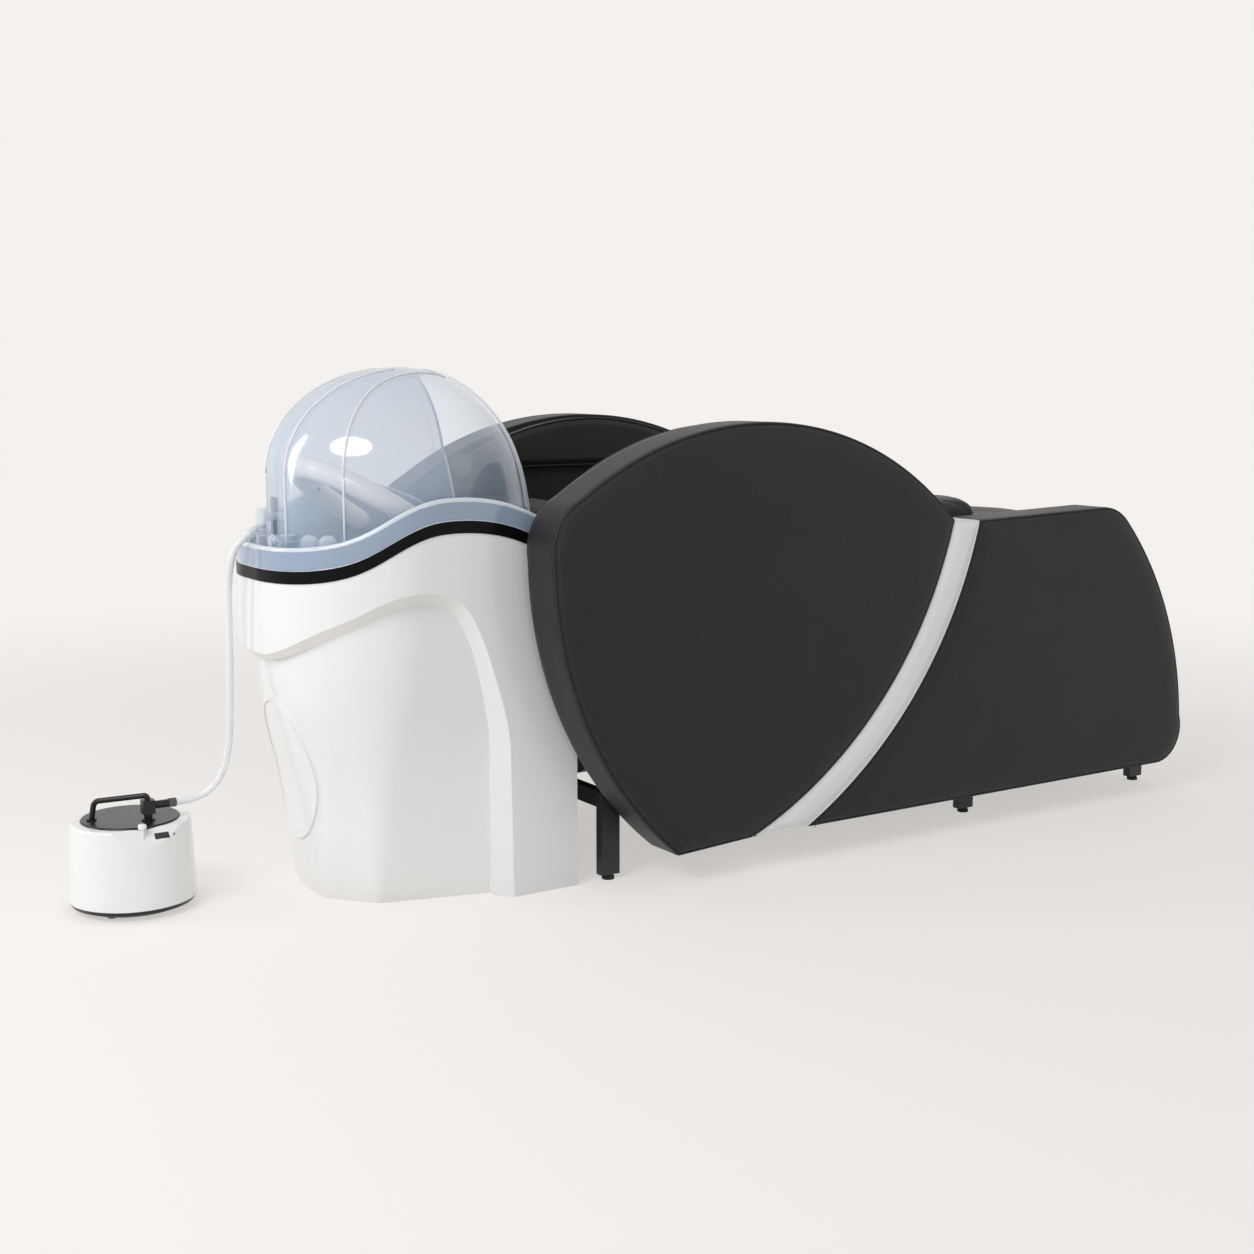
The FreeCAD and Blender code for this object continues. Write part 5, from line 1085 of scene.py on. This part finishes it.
def arm_outline(sizes):
    """The closed outline of an arm pad, along the bed and up: its arched top, then its other sides."""
    crown = (sizes.arm_crown_at, sizes.arm_crown)
    low = sizes.arm_bottom + sizes.arm_end
    corners = [Vector((sizes.arm_foot, low)), Vector((sizes.arm_foot, sizes.arm_bottom)),
               Vector((sizes.arm_head, sizes.arm_bottom)), Vector((sizes.arm_head, low))]
    points = arc_through((sizes.arm_head, low), crown, (sizes.arm_foot, low), 60)
    for a, b in zip(corners, corners[1:]):
        count = max(2, round((b - a).length / OUTLINE_STEP))
        points.extend(a.lerp(b, i / count) for i in range(count))
    return points


def hood_oval(sizes, way, height, outset):
    """The hood's reach to the foot or the head and its half width, at a height."""
    reach, crown = (sizes.foot_reach, sizes.foot_crown) if way > 0 else (sizes.head_reach, sizes.crown)
    shares = []
    for rise in (crown, sizes.crown):
        over = max(0.0, height - (sizes.top - rise)) / (rise + outset)
        shares.append(math.sqrt(max(1e-9, 1 - over * over)))
    return (reach + outset) * shares[0], (sizes.half_width + outset) * shares[1]


def hood_height(sizes, x, y, outset):
    """Height of the hood's skin over a place in its plan."""
    low, high = sizes.foot, sizes.top + outset
    for _ in range(28):
        middle = (low + high) / 2
        reach, width = hood_oval(sizes, x - sizes.centre, middle, outset)
        inside = ((x - sizes.centre) / reach) ** 2 + (y / width) ** 2 < 1
        low, high = (middle, high) if inside else (low, middle)
    return low


def hood_rib(sizes, corners, outset):
    """A rib on the hood that follows a bend in its plan out to the wall, then falls to the foot."""
    rib = []
    for k in range(49):
        t = math.sin(math.pi / 2 * k / 48)
        shares = ((1 - t) ** 3, 3 * t * (1 - t) ** 2, 3 * t * t * (1 - t), t ** 3)
        x, y = (sum(share * corner[axis] for share, corner in zip(shares, corners)) for axis in (0, 1))
        reach, width = hood_oval(sizes, x - sizes.centre, sizes.foot, outset)
        far = math.hypot((x - sizes.centre) / reach, y / width)
        if far > 0.99999:
            x, y = sizes.centre + (x - sizes.centre) / far * 0.99999, y / far * 0.99999
        rib.append(bed(x, y, hood_height(sizes, x, y, outset)))
    foot = rib[-1].copy()
    foot.z = sizes.foot
    return rib + [rib[-1].lerp(foot, k / 16) for k in range(1, 17)]


def opening_line(sizes, outset):
    """The edge of the hood's opening, up its far side, over its head end and down its near side."""
    wide, narrow = sizes.opening_wide, sizes.opening_narrow
    shoulder, head = sizes.opening_shoulder, sizes.opening_head
    turn_at = hood_height(sizes, shoulder, wide, outset)
    side = []
    for k in range(25):
        height = sizes.foot + (turn_at - sizes.foot) * k / 24
        reach, width = hood_oval(sizes, 1, height, outset)
        side.append(bed(sizes.centre + reach * math.sqrt(1 - (wide / width) ** 2), wide, height))
    for k in range(1, 25):
        x, y = shoulder + (head - shoulder) * k / 24, wide + (narrow - wide) * k / 24
        side.append(bed(x, y, hood_height(sizes, x, y, outset)))
    across = np.linspace(narrow, -narrow, 17)[1:-1]
    over = [bed(head, y, hood_height(sizes, head, y, outset)) for y in across]
    return side + over + [Vector((p.x, -p.y, p.z)) for p in reversed(side)]


def rim_path(node, sizes, inset, top=True):
    """A line round the pedestal's rim, on the top or lower edge of one of its nodes."""
    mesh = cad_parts[node].data
    sign = 1 if top else -1
    heights = {}
    for face in mesh.polygons:
        if face.normal.z * sign > 0.4:
            for i in face.vertices:
                spot = mesh.vertices[i].co
                place = round(spot.x, 4)
                heights[place] = max(heights.get(place, -9.0), spot.z * sign)
    places = sorted(heights)
    side, foot = sizes.half_width - inset, sizes.foot - inset
    reach = sizes.corner_cut * (1 + math.sqrt(0.5))
    centre = Vector((sizes.head + reach, reach - sizes.half_width))
    line = [Vector((foot, -sizes.notch - (side - sizes.notch) * k / 6)) for k in range(6)]
    line += [Vector((foot + (centre.x - foot) * k / 60, -side)) for k in range(60)]
    turns = [math.radians(-90 - 90 * k / 24) for k in range(25)]
    line += [centre + (reach - inset) * Vector((math.cos(t), math.sin(t))) for t in turns]
    line += [Vector((p.x, -p.y)) for p in reversed(line)]
    level = [heights[x] * sign for x in places]
    return [bed(p.x, p.y, float(np.interp(p.x + BED_X, places, level))) for p in line]


def curve_object(name, points, radius):
    """A round NURBS curve that bends smoothly past its points and ends at the first and the last."""
    data = bpy.data.curves.new(name, "CURVE")
    data.dimensions = "3D"
    data.bevel_depth = radius
    data.bevel_resolution = 6
    data.resolution_u = 16
    data.use_fill_caps = True
    spline = data.splines.new("NURBS")
    spline.points.add(len(points) - 1)
    for spot, p in zip(spline.points, points):
        spot.co = (*p, 1.0)
    spline.order_u = 3
    spline.use_endpoint_u = True
    return link(bpy.data.objects.new(name, data))


# Operators


class WASHBED_OT_studio(bpy.types.Operator):
    """Makes the camera, the pale floor and the lamps"""

    bl_idname = "washbed.studio"
    bl_label = "Studio"

    def execute(self, context):
        s = context.scene.bed_studio
        self.camera(s)
        self.floor(s)
        self.world(s)
        self.lamps(s)
        context.scene.view_settings.view_transform = "Standard"
        return {"FINISHED"}

    def camera(self, s):
        data = bpy.data.cameras.new("Camera")
        data.lens = s.focal
        data.sensor_width = 36.0
        data.clip_end = 60.0
        camera = link(bpy.data.objects.new("Camera", data))
        camera.location = bed(*CAMERA_PLACE)
        level = math.cos(CAMERA_PITCH)
        way = Vector((math.cos(CAMERA_YAW) * level, math.sin(CAMERA_YAW) * level, -math.sin(CAMERA_PITCH)))
        camera.rotation_mode = "QUATERNION"
        camera.rotation_quaternion = way.to_track_quat("-Z", "Y")
        bpy.context.scene.camera = camera

    def floor(self, s):
        turns = [math.tau * k / FLOOR_SIDES for k in range(FLOOR_SIDES)]
        rings = [[Vector((r * math.cos(t), r * math.sin(t), 0.0)) for t in turns] for r in FLOOR_RADII]
        floor = stack_rings("floor", rings, True, False)
        floor.location.z = -FLOOR_DROP
        material = bpy.data.materials.new("Paper floor")
        material.use_nodes = True
        tree = material.node_tree
        shader = tree.nodes["Principled BSDF"]
        shader.inputs["Base Color"].default_value = (*s.lit_floor, 1.0)
        shader.inputs["Roughness"].default_value = 0.75
        shader.inputs["Specular IOR Level"].default_value = 0.15
        glow = add(tree, "ShaderNodeEmission")
        glow.inputs["Color"].default_value = (*s.paper, 1.0)
        place = add(tree, "ShaderNodeTexCoord")
        size = add(tree, "ShaderNodeVectorMath", operation="LENGTH")
        wire(tree, place.outputs["Object"], size.inputs[0])
        fade = add(tree, "ShaderNodeMapRange", interpolation_type="SMOOTHSTEP")
        fade.inputs["From Min"].default_value = FADE_START
        fade.inputs["From Max"].default_value = FADE_END
        fade.inputs["To Min"].default_value = FADE_LEAST
        wire(tree, size.outputs["Value"], fade.inputs["Value"])
        seen = math_node(tree, "MULTIPLY", fade.outputs[0], seen_directly(tree))
        mix_shaders(tree, seen, shader, glow, "Material Output")
        floor.data.materials.append(material)

    def world(self, s):
        world = bpy.data.worlds.new("Studio")
        world.use_nodes = True
        bpy.context.scene.world = world
        tree = world.node_tree
        sky = tree.nodes["Background"]
        sky.inputs["Color"].default_value = (1.0, 0.99, 0.98, 1.0)
        sky.inputs["Strength"].default_value = s.sky
        paper = add(tree, "ShaderNodeBackground")
        paper.inputs["Color"].default_value = (*s.paper, 1.0)
        mix_shaders(tree, seen_directly(tree), sky, paper, "World Output")

    def lamps(self, s):
        for name, (place, aim, width, tall) in LAMPS.items():
            data = bpy.data.lights.new(name, "AREA")
            data.shape = "ELLIPSE"
            data.size = width
            data.size_y = tall
            data.energy = getattr(s, name)
            lamp = link(bpy.data.objects.new(name, data))
            lamp.location = place
            lamp.rotation_mode = "QUATERNION"
            lamp.rotation_quaternion = (Vector(aim) - Vector(place)).to_track_quat("-Z", "Y")


class WASHBED_OT_steam_hose(bpy.types.Operator):
    """Makes the translucent steam hose from the pot to the elbow"""

    bl_idname = "washbed.steam_hose"
    bl_label = "Steam hose"

    def execute(self, context):
        s = context.scene.bed_hose
        start = bed(s.start_x, s.start_y, s.start_z)
        end = bed(s.end_x, 0.0, s.end_z)
        points = [
            Vector((start.x + (end.x - start.x) * u, start.y * (1 - v), start.z + (end.z - start.z) * w))
            for u, v, w in HOSE_ROUTE
        ]
        hose = curve_object("hose", points, s.diameter / 2)
        clothe(hose, "Silicone", "bed")
        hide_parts("steam_hose")
        return {"FINISHED"}


class WASHBED_OT_side_panels(bpy.types.Operator):
    """Makes the leather side panels with their piping and stitches"""

    bl_idname = "washbed.side_panels"
    bl_label = "Side panels"

    def execute(self, context):
        s = context.scene.bed_panels
        kinds = (
            ("leaf", LEAF_ARCS, s.leaf_face, s.crown, s.crown_run, "Black leather", "leaf_pad_"),
            ("stripe", STRIPE_ARCS, s.stripe_face, s.crown * 0.5, 0.012, "White leather", None),
            ("foot", FOOT_ARCS, s.foot_face, s.crown, s.crown_run, "Black leather", "foot_pad_"),
        )
        for name, arcs, face, crown, run, finish, node in kinds:
            sewn = node is not None
            pad, pipe, rows = side_pad(name + "_near", arcs, s, face, crown, run, sewn)
            pads = [pad, mirror_y(pad, name + "_far")]
            pipes = [pipe, mirror_y(pipe, name + "_piping_far")]
            for side, piece in zip(("near", "far"), pads):
                clothe(piece, finish, "bed")
                if node:
                    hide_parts(node + side)
            for piece in pipes:
                clothe(piece, "Piping" if sewn else finish, "bed")
            if rows:
                thread = join(name + "_thread_near", rows)
                for piece in (thread, mirror_y(thread, name + "_thread_far")):
                    clothe(piece, "Thread", "bed")
            if name == "stripe":
                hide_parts("stripe_panels")
        dress("Black leather", "side_boards", "foot_apron")
        return {"FINISHED"}


class WASHBED_OT_cushions(bpy.types.Operator):
    """Makes the long cushion, the leg cushion and the arm pads"""

    bl_idname = "washbed.cushions"
    bl_label = "Cushions"

    def execute(self, context):
        s = context.scene.bed_cushions
        low, leg_low = s.top - s.thickness, s.leg_top - s.leg_thickness
        thick, leg_thick = s.thickness - s.swell, s.leg_thickness - s.swell
        long = cushion("long_cushion", s.head, s.foot, s.top - s.swell, thick, s, s.channels, s.crown,
                       s.rise, s.rise_run)
        leg = cushion("short_cushion", s.leg_head, s.leg_foot, s.leg_top - s.swell, leg_thick, s, 0, s.crown)
        stuff(long, s.voxel, s.pressure, s.swell_most, low + 0.004)
        stuff(leg, s.voxel, s.pressure, s.swell_most, leg_low + 0.004)
        crease(long, self.channel_places(s), 0.007, 0.0025, s.top - s.thickness / 2)
        for piece, node in ((long, "mattress"), (leg, "leg_cushion")):
            clothe(piece, "Black leather", "bed")
            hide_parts(node)
        self.channel_thread(s, long)
        self.arm_pads(s)
        dress("Board", "cushion_boards", "carcass_boards")
        return {"FINISHED"}

    def channel_places(self, s):
        run = (s.foot - s.head) / (s.channels + 1)
        return [BED_X + s.head + run * (i + 1) for i in range(s.channels)]

    def channel_thread(self, s, piece):
        skin = BVHTree.FromObject(piece, bpy.context.evaluated_depsgraph_get())
        rows = []
        for x in self.channel_places(s):
            line = [on_top(skin, x, s.half_width * 0.9 * (k / 40 - 1), 0.0002) for k in range(81)]
            rows.append(stitches("row", line))
        clothe(join("channel_thread", rows), "Thread", "bed")

    def arm_pads(self, s):
        base = arm_outline(s)
        back = s.arm_back
        thick = s.arm_thickness
        wall = [thick * share for share in ARM_WALL_SHARES]
        levels = [(away, thick * share) for away, share in ARM_SHARES]
        pad = padded_face(
            "arm_pad_near", base, wall, levels, lambda p, y: bed(p.x, y - back, p.y), OUTLINE_STEP
        )
        seam = [bed(p.x, -(back - thick * 0.72), p.y) for p in inset_loop(base, 0.0012)]
        pipe = tube_along("arm_piping_near", seam, 0.0019, 8, True)
        far_pad = mirror_y(pad, "arm_pad_far")
        for piece in (pad, far_pad):
            clothe(piece, "Black leather", "bed")
        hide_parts("arm_pads")
        for piece in (pipe, mirror_y(pipe, "arm_piping_far")):
            clothe(piece, "Piping", "bed")
        first, run = s.arm_head + 0.012, s.arm_foot - s.arm_head - 0.024
        skin, low = -(back - thick - 0.0002), s.arm_bottom + 0.017
        row = stitches("arm_thread_near", [bed(first + run * k / 60, skin, low) for k in range(61)])
        for piece in (row, mirror_y(row, "arm_thread_far")):
            clothe(piece, "Thread", "bed")


class WASHBED_OT_pedestal(bpy.types.Operator):
    """Finishes the pedestal, its band, its access cover and what is inside"""

    bl_idname = "washbed.pedestal"
    bl_label = "Pedestal"

    def execute(self, context):
        dress("White shell", "pedestal_shell", "access_frame", "access_cover")
        dress("Black band", "trim_band")
        dress("Grey plastic", "lip_screws", "waste_trap", "base_tray")
        dress("Black plastic", "water_pump")
        dress("Black rubber", "feed_pipe")
        dress("Bright steel", "mixer_block")
        return {"FINISHED"}


class WASHBED_OT_basin(bpy.types.Operator):
    """Finishes the basin, its collar, taps, drain and neck rest"""

    bl_idname = "washbed.basin"
    bl_label = "Basin"

    def execute(self, context):
        s = context.scene.bed_rim
        # The top bead rounds the collar's top edge, and its pale finish paints the highlight along it; the
        # lower bead is only a painted highlight at the collar's foot.
        top = rim_path("rim_collar", s, s.wall / 2)
        low = rim_path("rim_collar", s, 0.0004, False)
        for name, path, radius in (("collar_bead", top, s.bead), ("collar_foot_bead", low, s.foot_highlight_bead)):
            clothe(tube_along(name, path, radius, 12), "Rim bead", "bed")
        dress("Basin", "rim_collar", "wash_basin", "arch_posts")
        # The clear tap knobs get a dense white finish that partly paints their white highlights.
        dress("Tap acrylic", "tap_hot", "tap_cold")
        dress("Bright steel", "basin_drain", "hair_catcher")
        dress("Black rubber", "neck_rest")
        return {"FINISHED"}


class WASHBED_OT_hood(bpy.types.Operator):
    """Finishes the steam hood and adds its moulded ribs"""

    bl_idname = "washbed.hood"
    bl_label = "Steam hood"

    def execute(self, context):
        s = context.scene.bed_hood
        dress("Hood", "steam_hood")
        dress("Clear acrylic", "hood_hinge", "steam_elbow")
        # The ribs and the bead stand proud of the hood; their whiter finish paints the highlight lines along
        # them.
        ribs = []
        for side in (-1, 1):
            for bend in HOOD_RIBS:
                line = hood_rib(s, [(x, side * y) for x, y in bend], s.rib * 0.35)
                ribs.append(tube_along("rib", line, s.rib, 10))
        ribs.append(tube_along("edge", opening_line(s, s.flange), s.bead, 10))
        clothe(join("hood_ribs", ribs), "Hood rib", "hood")
        return {"FINISHED"}


class WASHBED_OT_water_arch(bpy.types.Operator):
    """Finishes the water arch"""

    bl_idname = "washbed.water_arch"
    bl_label = "Water arch"

    def execute(self, context):
        dress("Pearl", "water_arch", "arch_sleeves")
        dress("Grey plastic", "arch_nozzles")
        return {"FINISHED"}


class WASHBED_OT_steel_frame(bpy.types.Operator):
    """Finishes the legs, rails, feet and bolts"""

    bl_idname = "washbed.steel_frame"
    bl_label = "Steel frame"

    def execute(self, context):
        dress("Black steel", "frame_rails", "leg_frames")
        dress("Bright steel", "frame_bolts")
        for row in ("head", "middle", "end"):
            for side in ("near", "far"):
                dress("Black rubber", "levelling_foot_" + row + "_" + side)
        return {"FINISHED"}


class WASHBED_OT_steam_pot(bpy.types.Operator):
    """Finishes the steam pot"""

    bl_idname = "washbed.steam_pot"
    bl_label = "Steam pot"

    def execute(self, context):
        dress("Pot white", "pot_body", "pot_button")
        dress("Black plastic", "pot_base", "pot_lid", "pot_handle", "pot_valve", "pot_inlet")
        dress("Black rubber", "pot_feet")
        dress("Grey plastic", "hose_nut")
        dress("Bright steel", "pot_tank", "pot_heater")
        dress("Screen", "pot_display")
        dress("Lamp lens", "pot_lamp")
        return {"FINISHED"}


class WASHBED_PT_sidebar(bpy.types.Panel):
    """Lists the pieces of the hair washing bed"""

    bl_idname = "WASHBED_PT_sidebar"
    bl_label = "Hair Washing Bed"
    bl_space_type = "VIEW_3D"
    bl_region_type = "UI"
    bl_category = "Washing Bed"

    def draw(self, context):
        for operator in STEPS:
            self.layout.operator(operator.bl_idname)
        for name in GROUPS:
            settings = getattr(context.scene, name)
            box = self.layout.box()
            for key in settings.bl_rna.properties.keys():
                if key not in ("rna_type", "name"):
                    box.prop(settings, key)


GROUPS = {
    "bed_panels": PanelSizes,
    "bed_cushions": CushionSizes,
    "bed_hose": HoseSizes,
    "bed_rim": RimSizes,
    "bed_hood": HoodSizes,
    "bed_colours": FinishColours,
    "bed_studio": StudioSettings,
}

STEPS = (
    WASHBED_OT_studio,
    WASHBED_OT_steam_hose,
    WASHBED_OT_side_panels,
    WASHBED_OT_cushions,
    WASHBED_OT_pedestal,
    WASHBED_OT_basin,
    WASHBED_OT_hood,
    WASHBED_OT_water_arch,
    WASHBED_OT_steel_frame,
    WASHBED_OT_steam_pot,
)


def register():
    for name, kind in GROUPS.items():
        bpy.utils.register_class(kind)
        setattr(bpy.types.Scene, name, PointerProperty(type=kind))
    for kind in (*STEPS, WASHBED_PT_sidebar):
        bpy.utils.register_class(kind)


def unregister():
    for kind in (WASHBED_PT_sidebar, *reversed(STEPS)):
        bpy.utils.unregister_class(kind)
    for name, kind in GROUPS.items():
        delattr(bpy.types.Scene, name)
        bpy.utils.unregister_class(kind)


def main():
    register()
    bpy.ops.washbed.studio()
    bpy.ops.washbed.steam_hose()
    bpy.ops.washbed.side_panels()
    bpy.ops.washbed.cushions()
    bpy.ops.washbed.pedestal()
    bpy.ops.washbed.basin()
    bpy.ops.washbed.hood()
    bpy.ops.washbed.water_arch()
    bpy.ops.washbed.steel_frame()
    bpy.ops.washbed.steam_pot()


if __name__ == "__main__":
    main()
